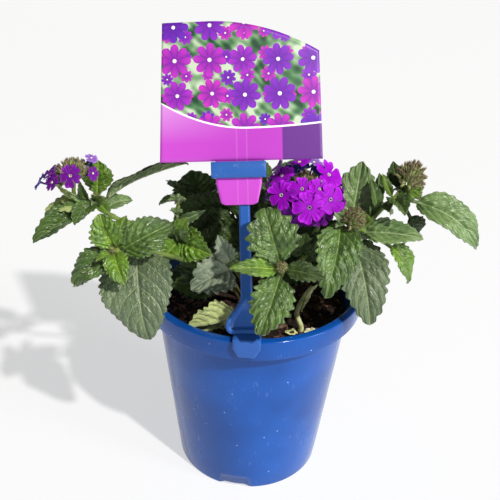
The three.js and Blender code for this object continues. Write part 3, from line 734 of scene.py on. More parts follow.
# %% [markdown]
# ## The care label
# The label is a sheet of printed polypropylene with a satin varnish. The real print names a
# plant and its grower and carries a picture, and none of that is drawn. The bands keep their
# colours: a pink band below a white arc, a darker block at the lower right, and above the arc a
# field in greens and purples. The field holds a plain pattern of round eight-petalled daisies,
# large ones over small ones, on leafy clouds. It is drawn with nodes from the label's own
# millimetres, so that it stays crisp. Two faint upright lines show where the sheet was folded.
# The map of the white back is moved far to the right, which tells the shader the side.

# %% One layer of daisies
PRINT_BOTTOM = head_top + CLEAR

label_print, tree, shader = start_material(
    "printed_sheet", Roughness=0.42, IOR=1.5, Coat_Weight=0.2, Coat_Roughness=0.3)
uv = add(tree, "UVMap", uv_map="print")
at_x = axis(tree, uv, 0)
at_y = axis(tree, uv, 1)


def daisies_over(field, step, small, large, shift, share):
    """Draws one layer of daisies, each in its own cell of a lattice, over what is there."""
    moved = add(tree, "VectorMath", {0: uv, 1: (*shift, 0)}, operation="ADD")
    scaled = add(tree, "VectorMath", {0: moved, 1: (step, step, 1)}, operation="DIVIDE")
    cell = add(tree, "VectorMath", {0: scaled}, operation="FLOOR")
    pick = add(tree, "TexWhiteNoise", {"Vector": cell}, noise_dimensions="3D")
    dice = []
    for i in range(3):
        thrown = add(tree, "TexWhiteNoise", {"Vector": cell}, out=1)
        dice.append(add(tree, "SeparateColor", {"Color": thrown}, out=i))
    size = remap(tree, dice[0], onto=(small, large))
    spare = compute(tree, "MULTIPLY_ADD", size, -1.0, step / 2)
    place = []
    for i in (1, 2):
        nudge = remap(tree, dice[i], onto=(-0.95, 0.95))
        local = compute(tree, "FLOORED_MODULO", axis(tree, scaled, i - 1), 1.0)
        local = compute(tree, "MULTIPLY_ADD", local, step, -step / 2)
        nudge = compute(tree, "MULTIPLY", nudge, spare)
        place.append(compute(tree, "SUBTRACT", local, nudge))
    from_heart = add(tree, "CombineXYZ", {0: place[0], 1: place[1]})
    away = add(tree, "VectorMath", {0: from_heart}, out="Value", operation="LENGTH")
    away = compute(tree, "DIVIDE", away, size)
    angle = compute(tree, "ARCTAN2", place[1], place[0])
    angle = compute(tree, "MULTIPLY_ADD", dice[1], 6.28, angle)
    wave = compute(tree, "COSINE", compute(tree, "MULTIPLY", angle, 4.0))
    wave = compute(tree, "ABSOLUTE", wave)
    wave = compute(tree, "POWER", wave, 0.55)
    edge = compute(tree, "MULTIPLY_ADD", wave, 0.42, 0.56)
    petal = compute(tree, "LESS_THAN", away, edge)
    there = compute(tree, "LESS_THAN", pick, share)
    petal = compute(tree, "MULTIPLY", petal, there)
    heart = compute(tree, "LESS_THAN", away, 0.12)
    heart = compute(tree, "MULTIPLY", heart, there)
    hue = ramp(tree, dice[2], (0.0, "#6a26b8"), (0.4, "#9c2cc4"), (0.8, "#c430bc"))
    depth = compute(tree, "MULTIPLY", away, wave)
    depth = remap(tree, depth, (0.0, 0.8), (0.8, 0.0))
    hue = blend(tree, depth, hue, "#581694")
    field = blend(tree, petal, field, hue)
    return blend(tree, heart, field, "#f4efe6")


print("the print starts", PRINT_BOTTOM, "mm up the clip")

# %% The flowery field
cloud = noise_on(tree, uv, 0.11, 1.0)
blades = add(tree, "TexVoronoi", {"Vector": uv, "Scale": 0.085, "Smoothness": 0.35}, feature="SMOOTH_F1")
bands = {"Vector": uv, "Scale": 0.10, "Distortion": 14.0, "Detail": 1.0, "Detail Scale": 0.2}
ribs = add(tree, "TexWave", bands, out="Fac", bands_direction="DIAGONAL")
leafy = compute(tree, "MULTIPLY_ADD", ribs, 0.10, cloud)
leafy = compute(tree, "MULTIPLY_ADD", blades, -0.35, leafy)
field = ramp(tree, leafy, (0.14, "#1f4430"), (0.27, "#43724a"), (0.38, "#7ba077"), (0.50, "#c3d6ba"))
field = daisies_over(field, 11.0, 3.4, 4.9, (2.0, 5.0), 0.85)
field = daisies_over(field, 19.0, 8.0, 9.4, (7.5, 9.0), 1.0)
print("the field is drawn with", len(tree.nodes), "nodes")

# %% Bands, arc and block
ARC_LOW, ARC_MIDDLE, ARC_LINE = 18.0, 3.0, 0.5
BLOCK_LEFT, CREASES, BACK_OF_PRINT = 22.0, (-3.2, 2.3), 200.0

from_middle = compute(tree, "SUBTRACT", at_x, ARC_MIDDLE)
squared = compute(tree, "POWER", from_middle, 2.0)
left_side = compute(tree, "LESS_THAN", at_x, ARC_MIDDLE)
bend = remap(tree, left_side, onto=(0.00125, 0.00645))
arc_height = compute(tree, "MULTIPLY_ADD", squared, bend, PRINT_BOTTOM + ARC_LOW)
over_arc = compute(tree, "SUBTRACT", at_y, arc_height)
above = compute(tree, "GREATER_THAN", over_arc, ARC_LINE)
on_line = compute(tree, "COMPARE", over_arc, 0.0, ARC_LINE)

glow = remap(tree, at_x, (-45.0, 5.0))
rise = remap(tree, at_y, (PRINT_BOTTOM + 10, PRINT_BOTTOM + 36))
pale = compute(tree, "MULTIPLY_ADD", glow, -1.0, 1.0)
pale = compute(tree, "MULTIPLY", pale, rise)
on_panel = compute(tree, "GREATER_THAN", at_y, PRINT_BOTTOM - 0.2)
deep = compute(tree, "MULTIPLY", glow, on_panel)
band = blend(tree, deep, "#c448ca", "#b63bbf")
band = blend(tree, pale, band, "#da9ce4")
in_block = compute(tree, "GREATER_THAN", at_x, BLOCK_LEFT)
band = blend(tree, in_block, band, "#652a8a")
crease_left, crease_right = (compute(tree, "COMPARE", at_x, x, 0.35) for x in CREASES)
crease = compute(tree, "MAXIMUM", crease_left, crease_right)
crease = compute(tree, "MULTIPLY", crease, 0.10)
band = blend(tree, crease, band, "#f7c9fb")
front = blend(tree, above, band, field)
front = blend(tree, on_line, front, "#fdfbfd")
on_back = compute(tree, "GREATER_THAN", at_x, BACK_OF_PRINT / 2)
front = blend(tree, on_back, front, "#f2f0f2")
fibre = noise_on(tree, uv, 3.0)
link(tree, shader, Base_Color=front, Normal=bump(tree, fibre, 0.05, 0.0005))
print("printed sheet: the arc's lowest point is", ARC_LOW, "mm up")

# %% [markdown]
# ### Its sheet
# The sheet is cut with a curved top and a tongue at its foot that goes down through the slot. A
# sheet of this size never stays flat, so its outer parts bow back by about a millimetre. Panel
# and tongue are two grids of points, because one grid would have to fold at the tongue's sides.

# %% Cut and stand the label
# the left and right end of the foot and of the head, from the clip's middle
LABEL_FOOT, LABEL_HEAD = (-46.2, 44.0), (-42.6, 43.0)
LABEL_TOP, LABEL_RIGHT_TOP, CURVE_START = 76.0, 58.8, -18.0
LABEL_FACE, LABEL_THICKNESS = 0.25, 0.5


def label_top(x):
    """The cut top edge: level on the left, then a falling curve to the right."""
    if x <= CURVE_START:
        return LABEL_TOP
    right = LABEL_HEAD[1]
    handle = right - 29
    a, b, c = CURVE_START - 2 * handle + right, 2 * (handle - CURVE_START), CURVE_START - x
    t = (-b + math.sqrt(b * b - 4 * a * c)) / (2 * a)
    return LABEL_TOP - t * t * (LABEL_TOP - LABEL_RIGHT_TOP)


def label_point(s, t):
    """A point on the printed face, s from left to right and t from foot to top, both 0 to 1.
    The panel narrows a little upwards, and its outer parts bow back."""
    head_x = LABEL_HEAD[0] + (LABEL_HEAD[1] - LABEL_HEAD[0]) * s
    foot_x = LABEL_FOOT[0] + (LABEL_FOOT[1] - LABEL_FOOT[0]) * s
    x = foot_x + (head_x - foot_x) * t
    bowed = LABEL_FACE - 0.0005 * x * x - 0.9 * (t * x / 45) ** 2
    return x, PRINT_BOTTOM + t * label_top(head_x), bowed


skin = Skin()
panel = np.array([[label_point(s, t) for s in np.linspace(0, 1, 61)] for t in np.linspace(0, 1, 31)])
narrow = (TONGUE_WIDTH - TONGUE_END_WIDTH) / 2
tongue = []
for y in np.linspace(HEAD_BOTTOM - TONGUE_LENGTH, PRINT_BOTTOM, 31):
    t = (y - HEAD_BOTTOM + TONGUE_LENGTH) / (TONGUE_LENGTH - 3)
    half = TONGUE_WIDTH / 2 - narrow * (1 - min(1, t)) - 2.4 * max(0, 1 - 8 * t) ** 2
    tongue.append([(HEAD_OFFSET + half * s, y, LABEL_FACE) for s in np.linspace(-1, 1, 17)])
for front in (panel, np.array(tongue)):
    points, faces = sheet(front, front - (0, 0, LABEL_THICKNESS))
    chart = points[:, :2].copy()
    chart[len(points) // 2:, 0] += BACK_OF_PRINT
    skin.take(on_clip(points), faces, print=chart)
skin.finish("label_printed", label_print, "label_sheet", ["care_label"])
print("label:", LABEL_FOOT[1] - LABEL_FOOT[0], "mm wide at its foot and", LABEL_TOP, "mm high")

# %% [markdown]
# ## The shoots
# A verbena's shoot is a slightly square stem, 3 mm thick, with short stiff hairs that give it a
# dull sheen, and it thickens at each node, where a pair of leaves sits. It comes out of the
# potting mix upright and then arches outwards under its own weight. The frame gives each shoot's
# course as a few points. A centripetal Catmull-Rom curve goes through them, because that kind
# neither overshoots nor loops where two points lie close together. The hairs are real: each is
# a thin three-sided spike, and there are enough of them to show along the outline.

# %% Curves
def spline_point(points, t):
    """A place on a centripetal Catmull-Rom curve, for t from 0 at its foot to 1 at its end."""
    points = np.asarray(points, float)
    spot = t * (len(points) - 1)
    i = min(int(spot), len(points) - 2)
    share = spot - i
    before = points[i - 1] if i > 0 else 2 * points[0] - points[1]
    after = points[i + 2] if i + 2 < len(points) else 2 * points[-1] - points[-2]
    p, q = points[i], points[i + 1]
    d0, d1, d2 = (math.sqrt(np.linalg.norm(b - a)) for a, b in ((before, p), (p, q), (q, after)))
    start = ((p - before) / d0 - (q - before) / (d0 + d1) + (q - p) / d1) * d1
    end = ((q - p) / d1 - (after - p) / (d1 + d2) + (after - q) / d2) * d1
    c2, c3 = -3 * p + 3 * q - 2 * start - end, 2 * p - 2 * q + start + end
    return p + share * (start + share * (c2 + share * c3))


def spline_tangent(points, t):
    """The direction of the curve at a place."""
    return unit(spline_point(points, min(1, t + 1e-4)) - spline_point(points, max(0, t - 1e-4)))


def along_spline(points, step=1.0):
    """Points about one step apart along the whole curve."""
    rough = np.array([spline_point(points, t) for t in np.linspace(0, 1, 120)])
    run = distance_along(rough)
    places = np.linspace(0, run[-1], max(4, int(run[-1] / step)))
    return np.column_stack([np.interp(places, run, rough[:, i]) for i in range(3)])


straight = [(0, 0, 0), (0, 0, 10), (0, 0, 20)]
print("half way along a straight course:", spline_point(straight, 0.5))

# %% [markdown]
# ## Fourteen shoots
# The courses are listed, because where the shoots go decides how the whole plant stands, and
# chance wouldn't put a flower head in its place. Two shoots fork near their ends. Every course
# starts just above the potting mix and goes straight up for a few millimetres.

# %% Where each shoot runs
# each shoot: its foot (X, Y), its points, and for a branch its place on the shoot and its points
STEM_RADIUS, BRANCH_RADIUS = 1.6, 1.3
SHOOTS = {
    "far_left": ([(-9, 1), (-17, 0, 140), (-45, -6, 167), (-80, -12, 178), (-94, -12, 187), (-95, -12, 192)],
                 0.86, [(-100, -13, 189), (-107, -13, 193), (-107, -12, 203)]),
    "left": ([(-8, -6), (-15, -14, 140), (-34, -28, 160), (-56, -36, 171), (-72, -45, 175),
              (-78, -48, 178)],),
    "inner_left": ([(-3, -1), (-10, -3, 140), (-26, -12, 158), (-42, -18, 166), (-47, -15, 178),
                    (-46, -10, 190)],),
    "arching": ([(-2, 6), (-5, 10, 145), (-14, 13, 176), (-27, 11, 181), (-36, 9, 178)],),
    "low_middle": ([(-3, -8), (-5, -14, 138), (-9, -27, 156), (-14, -31, 164)],),
    "low_front": ([(2, -12), (3, -22, 132), (-1, -40, 141), (-5, -48, 142)],),
    "front": ([(8, -9), (11, -18, 138), (14, -41, 159), (17, -57, 175), (17, -62, 182)],),
    "flower": ([(5, 0), (9, 0, 142), (20, -4, 172), (27, -8, 192)],),
    "right_front": ([(12, -4), (19, -9, 142), (33, -20, 168), (44, -27, 189), (54, -27, 195)],),
    "right": ([(13, 3), (20, 1, 140), (40, -10, 168), (62, -20, 185), (78, -15, 202), (92, -11, 203)],
              0.84, [(82, -12, 206), (85, -9, 210)]),
    "dry": ([(31, -32), (28, -31, 131), (33, -26, 142), (37, -26, 148)],),
    "back": ([(3, 11), (5, 17, 142), (8, 34, 168), (8, 48, 186)],),
    "back_right": ([(9, 8), (17, 14, 140), (38, 30, 160), (56, 42, 172)],),
    "back_left": ([(-6, 9), (-14, 16, 140), (-34, 33, 160), (-50, 44, 172)],),
}

curves = {}
for name, (course, *branch) in SHOOTS.items():
    x, y = course[0]
    curves[name] = [(x, y, SOIL_LEVEL + CLEAR), (x, y, SOIL_LEVEL + 4), *course[1:]]
    if branch:
        curves[name + "_branch"] = [tuple(spline_point(curves[name], branch[0])), *branch[1]]
print("curves:", ", ".join(curves))

# %% [markdown]
# ## The greens
# A verbena leaf is thick, dark and puckered: its veins are sunk into the upper side and the
# blade swells between them. Young leaves are a shining yellow-green with a white glint on each
# pucker. They darken as they grow, and old ones turn a dull grey-green on which the veins stand
# out pale. Leaf wax has an IOR near 1.5, and on young leaves a roughness of 0.32 under a clear
# coat. On old leaves the coat is nearly worn off and the roughness is 0.44. A pale grey-green is
# painted on top of their puckers: partly short grey hairs, like the bloom on a plum, and partly
# painted sheen. Each leaf carries two maps: blade runs 0 to 1 from foot to tip and -1 to 1
# across, and flat is in millimetres. The side veins and the ladder of cross veins between them
# are worked out from these maps, in the shader and in the mesh alike, so that colour and relief
# agree. Under the leaf, blade starts at 2, which tells the shader the side.

# %% Leaf skins
VEIN_SLANT, VEIN_BEND, VEIN_PAIRS = 0.30, 0.12, 6.0
CROSS_VEIN, SHIFT, UNDER = 2.7, 0.37, 2.0


def leaf_skin(name, dark, light, vein, below, roughness, show, relief, gloss=0.0,
              cells_a_vein=2.4, bloom=0.0, line=0.08):
    """A leaf's surface: two greens in clouds, veins of another, and a paler underside. Show is how
    much the veins do, bloom is how much the pale grey-green on the pucker tops does, which is partly
    grey hairs and partly painted sheen, and line is the side veins' width."""
    material, tree, shader = start_material(
        name, Roughness=roughness, IOR=1.5, Sheen_Weight=0.04, Sheen_Roughness=0.5,
        Coat_Weight=gloss, Coat_Roughness=0.32)
    blade = add(tree, "UVMap", uv_map="blade")
    flat = add(tree, "UVMap", uv_map="flat")
    run = axis(tree, blade, 0)
    side = compute(tree, "ABSOLUTE", axis(tree, blade, 1))
    off_middle = compute(tree, "ABSOLUTE", axis(tree, flat, 1))
    under = compute(tree, "GREATER_THAN", run, UNDER - 0.5)
    run = compute(tree, "FLOORED_MODULO", run, UNDER)
    bent = compute(tree, "MULTIPLY_ADD", side, VEIN_BEND, VEIN_SLANT)
    bent = compute(tree, "MULTIPLY", bent, side)
    slanted = compute(tree, "SUBTRACT", run, bent)
    paired = compute(tree, "MULTIPLY", slanted, VEIN_PAIRS)
    to_vein = compute(tree, "PINGPONG", paired, 0.5)
    lateral = remap(tree, to_vein, (0.01, line), (1.0, 0.0))
    midrib = remap(tree, off_middle, (0.2, 0.7), (1.0, 0.0))
    main = compute(tree, "MAXIMUM", midrib, lateral)
    rung = compute(tree, "MULTIPLY", compute(tree, "FLOOR", paired), SHIFT)
    ladder = compute(tree, "MULTIPLY_ADD", off_middle, 1 / CROSS_VEIN, rung)
    to_rung = compute(tree, "PINGPONG", ladder, 0.5)
    crossing = remap(tree, to_rung, (0.0, 0.09), (0.4, 0.0))
    over_cells = compute(tree, "MULTIPLY", paired, cells_a_vein)
    up_cells = compute(tree, "MULTIPLY", off_middle, 0.55)
    drawn_out = add(tree, "CombineXYZ", {0: over_cells, 1: up_cells})
    cells = add(tree, "TexVoronoi", {"Vector": drawn_out, "Scale": 1.0}, feature="DISTANCE_TO_EDGE")
    fine = remap(tree, cells, (0.0, 0.10), (0.25, 0.0))
    netted = compute(tree, "MAXIMUM", fine, crossing)
    veined = compute(tree, "MAXIMUM", main, netted)
    place = add(tree, "TexCoord", out="Object")
    green = ramp(tree, noise_on(tree, place, 80.0, 4.0), (0.35, dark), (0.68, light))
    pucker = remap(tree, cells, (0.0, 0.42), interpolation_type="SMOOTHSTEP")
    # on the pucker tops a pale grey-green stands partly for grey hairs and partly is painted sheen
    hairs_and_painted_sheen = remap(tree, noise_on(tree, flat, 1.1, 3.0), (0.42, 0.66), (0.0, bloom))
    hairs_and_painted_sheen = compute(tree, "MULTIPLY", hairs_and_painted_sheen, pucker)
    green = blend(tree, hairs_and_painted_sheen, green, "#b2bca0")
    shown = compute(tree, "MULTIPLY", veined, show)
    green = blend(tree, shown, green, vein)
    lower = blend(tree, veined, below, "#c4cf9a")
    green = blend(tree, under, green, lower)
    grain = noise_on(tree, drawn_out, 1.1, 0.5)
    height = compute(tree, "MULTIPLY_ADD", grain, 1.2, pucker)
    height = compute(tree, "MULTIPLY_ADD", main, -0.8, height)
    bumped = bump(tree, height, relief, 0.0006)
    dull = remap(tree, grain, (0.3, 0.7), (roughness - 0.08, roughness + 0.12))
    link(tree, shader, Base_Color=green, Roughness=dull, Normal=bumped, Coat_Normal=bumped)
    return material


print("a leaf has about", int(VEIN_PAIRS), "pairs of side veins")

# %% Seven greens
greens = {
    "young": leaf_skin("young_leaf_wax", "#42690f", "#6c981e", "#abc654", "#90ab5e",
                       0.32, 0.5, 0.75, gloss=0.8, cells_a_vein=3.6),
    "green": leaf_skin("grown_leaf_wax", "#2f4f17", "#547828", "#93ae60", "#84a069",
                       0.32, 0.5, 0.7, gloss=0.8, cells_a_vein=5.0),
    "light": leaf_skin("light_leaf_wax", "#517338", "#789857", "#b9cb98", "#93aa77",
                       0.34, 0.6, 0.6, gloss=0.7, cells_a_vein=5.0),
    # the dark green is painted shade: it goes to leaves deep inside the plant and to those in the shadow of
    # others
    "dark": leaf_skin("shade_painted_leaf", "#20350a", "#3a5316", "#5a7034", "#5a7549", 0.45, 0.4, 0.8),
    "old": leaf_skin("old_leaf", "#3b5133", "#546847", "#a0b07e", "#8c9c78",
                     0.44, 0.6, 0.45, gloss=0.2, cells_a_vein=5.0, bloom=0.68, line=0.055),
    "grey": leaf_skin("grey_old_leaf", "#6b7a66", "#8a987e", "#aab49a", "#98a58c", 0.50, 0.5, 0.5),
    "pale": leaf_skin("pale_leaf", "#8a9c55", "#a4b56b", "#c8d294", "#b0bd78", 0.5, 0.7, 0.35),
}
print("greens:", ", ".join(greens))

# %% [markdown]
# ## One leaf
# A leaf is a sheet 0.35 mm thick on a curved spine. Its half width follows an egg shape, and
# rounded teeth are cut into the edge by pulling each row in between two teeth. The height over
# the spine is a sum: the midrib and the side veins are sunk, the blade swells between the side
# veins and again between the rungs of the ladder, and a slow wave runs along the edge. Below,
# the midrib stands out as a ridge and runs on into a short winged stalk. The same function
# makes a hanging leaf 45 mm wide and a bract 3 mm wide. In its arrays the rows run from foot to
# tip and the columns from edge to edge: s is the place along the blade and v the place across.

# %% A leaf's foot and edge
LEAF_THICKNESS, STALK_HALF = 0.35, 0.9


def leaf_base(curve, at, tip, radius):
    """Where a leaf meets its stem: on its side, towards the leaf's tip."""
    on_stem, direction = spline_point(curves[curve], at), spline_tangent(curves[curve], at)
    towards = unit(np.array(tip, float) - on_stem)
    slant = towards @ direction
    sideways = unit(towards - direction * slant)
    return on_stem + sideways * (radius * 0.7 + 0.4 * abs(slant))


def toothed_edges(draw, s, half, outline, on_blade, teeth, cut, lean):
    """How far the left and the right edge reach from the midrib, with rounded teeth cut in."""
    edges = []
    for sign in (-1, 1):
        size = [draw.uniform(0.6, 1.3) for _ in range(teeth + 3)]
        phase = s ** 0.95 * teeth + draw.uniform(0, 0.7)
        tooth = np.abs(np.sin(math.pi * (phase % 1) ** 1.7)) ** 0.75
        depth = cut * half * np.array([size[int(p)] for p in phase]) * on_blade
        depth = np.minimum(depth, 0.5 * outline)
        edges.append(outline * (1 + sign * lean * np.sin(math.pi * s)) - depth * (1 - tooth))
    return edges


print("a leaf's foot on the flower's shoot:", leaf_base("flower", 0.5, (0, 0, 200), STEM_RADIUS).round(1))

# %% A leaf's relief
def blade_relief(draw, s, v, x, on_blade, amount):
    """The blade's height between its sunk veins, and how far each place is from a side vein."""
    slant = (s - (VEIN_SLANT + VEIN_BEND * np.abs(v)) * np.abs(v)) * VEIN_PAIRS
    between = np.abs(np.sin(math.pi * slant))
    rung = np.abs(np.sin(math.pi * (np.abs(x) / CROSS_VEIN + SHIFT * np.floor(slant))))
    uneven = 0.85 + 0.3 * np.sin(1.9 * np.floor(slant) + 0.5 * np.abs(x) + draw.uniform(0, 6))
    swell = between ** 0.55 * (0.45 + 0.55 * rung ** 0.6) * uneven
    swell += 0.15 * between * np.abs(np.sin(2 * math.pi * slant + 0.35 * np.abs(x)))
    from_midrib = smoothstep(0.2, 2.2, np.abs(x)) * on_blade
    height = 1.7 * amount * swell * from_midrib * (1 - 0.4 * np.abs(v) ** 8)
    height -= 0.4 * np.exp(-(x / 0.7) ** 2) * on_blade
    return height, between


def wave_edges(draw, height, s, v, on_blade, half, wave, curl):
    """Adds the slow waves of the blade and its edges to the height, and curls the edges down."""
    turns = [draw.uniform(0, 6.28) for _ in range(3)]
    slow = np.sin(2 * math.pi * (1.2 * s + 0.2 * v) + turns[0])
    at_edges = np.where(v < 0, np.sin(2 * math.pi * 2.3 * s + turns[1]),
                        np.sin(2 * math.pi * 2.0 * s + turns[2]))
    height += wave * (0.4 * slow + at_edges * v ** 2) * on_blade * half / 13
    height -= curl * half * np.abs(v) ** 3 * on_blade


print("side veins slant by", VEIN_SLANT, "of the blade's length")

# %% A whole leaf
def leaf_sheet(base, tip, width, face, bow=0.12, fold=18, petiole=0.06, shoulder=0.7, root=0.7,
               teeth=9, cut=0.12, relief=1.0, wave=0.8, curl=0.08, lean=0.0, nod=0.0, twist=0,
               mesh=0.75, seed=0):
    """A leaf's points, faces and maps. Lengths are in millimetres and angles in degrees."""
    draw = random.Random(seed)
    base, tip = np.array(base, float), np.array(tip, float)
    chord = tip - base
    length = np.linalg.norm(chord)
    across = unit(np.cross(chord, face))
    lift = unit(np.cross(across, chord))
    middle = (base + tip) / 2 + lift * 2 * bow * length
    half = width / 2
    blade_rows = max(int((1 - petiole) * length / mesh), int(teeth * 6))
    on_petiole = np.linspace(0, petiole, 4)[:-1]
    u = np.concatenate([on_petiole, petiole + (1 - petiole) * np.linspace(0, 1, blade_rows)])
    s = np.clip((u - petiole) / (1 - petiole), 0, 1)
    v = np.linspace(-1, 1, 2 * max(4, int(half / mesh)) + 1)[None, :]

    outline = half * np.sin(math.pi * s ** shoulder) ** root
    on_blade = smoothstep(0.0, 0.06, s)
    left, right = toothed_edges(draw, s, half, outline, on_blade, teeth, cut, lean)
    reach = np.where(v < 0, left[:, None], right[:, None])
    stalk = STALK_HALF * min(1, width / 10)
    reach = np.maximum(reach, np.where(s < 0.1, stalk, 0.25)[:, None])
    share = np.abs(v) ** 4
    x = v * (np.maximum(outline[:, None], reach) * (1 - share) + reach * share)
    x = np.where(np.abs(x) > reach, np.sign(x) * reach, x)

    s, on_blade, t = s[:, None], on_blade[:, None], u[:, None]
    amount = np.clip(width / 22, 0.4, 1.1) * relief
    height, between = blade_relief(draw, s, v, x, on_blade, amount)
    wave_edges(draw, height, s, v, on_blade, half, wave, curl)
    rise = np.sqrt(x ** 2 + 0.5) - math.sqrt(0.5)

    spine = bezier(base, middle, tip, t) - lift * nod * length * t ** 3
    direction = unit(np.gradient(spine, axis=0))
    normal = unit(np.cross(across, direction))
    turned_by = math.radians(twist) * (t - 0.3)
    sideways = across * np.cos(turned_by) + normal * np.sin(turned_by)
    up = unit(np.cross(sideways, direction))
    open_fold = math.radians(fold)
    top = spine[:, None] + sideways[:, None] * (x * math.cos(open_fold))[..., None]
    top = top + up[:, None] * (rise * math.sin(open_fold) + height)[..., None]

    down = unit(np.cross(np.gradient(top, axis=1), np.gradient(top, axis=0)))
    ridge = 0.7 * np.exp(-(x / 0.8) ** 2) * (1 - 0.75 * s) * min(1, width / 12)
    neck = 0.7 * (1 - on_blade) * np.sqrt(np.clip(1 - v ** 2, 0, 1)) * min(1, width / 12)
    veins = 0.16 * amount * np.exp(-(between / 0.25) ** 2) * on_blade * (1 - np.abs(v))
    below = top - down * (LEAF_THICKNESS + ridge + neck + veins)[..., None]

    points, faces = sheet(top, below)
    run, wide = (np.broadcast_to(a, x.shape).ravel() for a in (s, v))
    flat = np.column_stack([np.broadcast_to(t * length, x.shape).ravel(), x.ravel()])
    blade = np.concatenate([np.column_stack([run, wide]), np.column_stack([run + UNDER, wide])])
    return points, faces, {"blade": blade, "flat": np.concatenate([flat, flat])}


example = leaf_sheet((0, 0, 0), (0, 0, 40), 20, (0, -1, 0))
print("a leaf 40 mm long and 20 mm wide has", len(example[0]), "points")

# %% [markdown]
# ## The leaves that show
# These leaves make the outline of the plant, so each has a place of its own: where it sits on
# its shoot, where its tip reaches, how wide it is and which way its upper side faces. What
# differs from the usual leaf, such as a stronger fold or more teeth, is given by name.

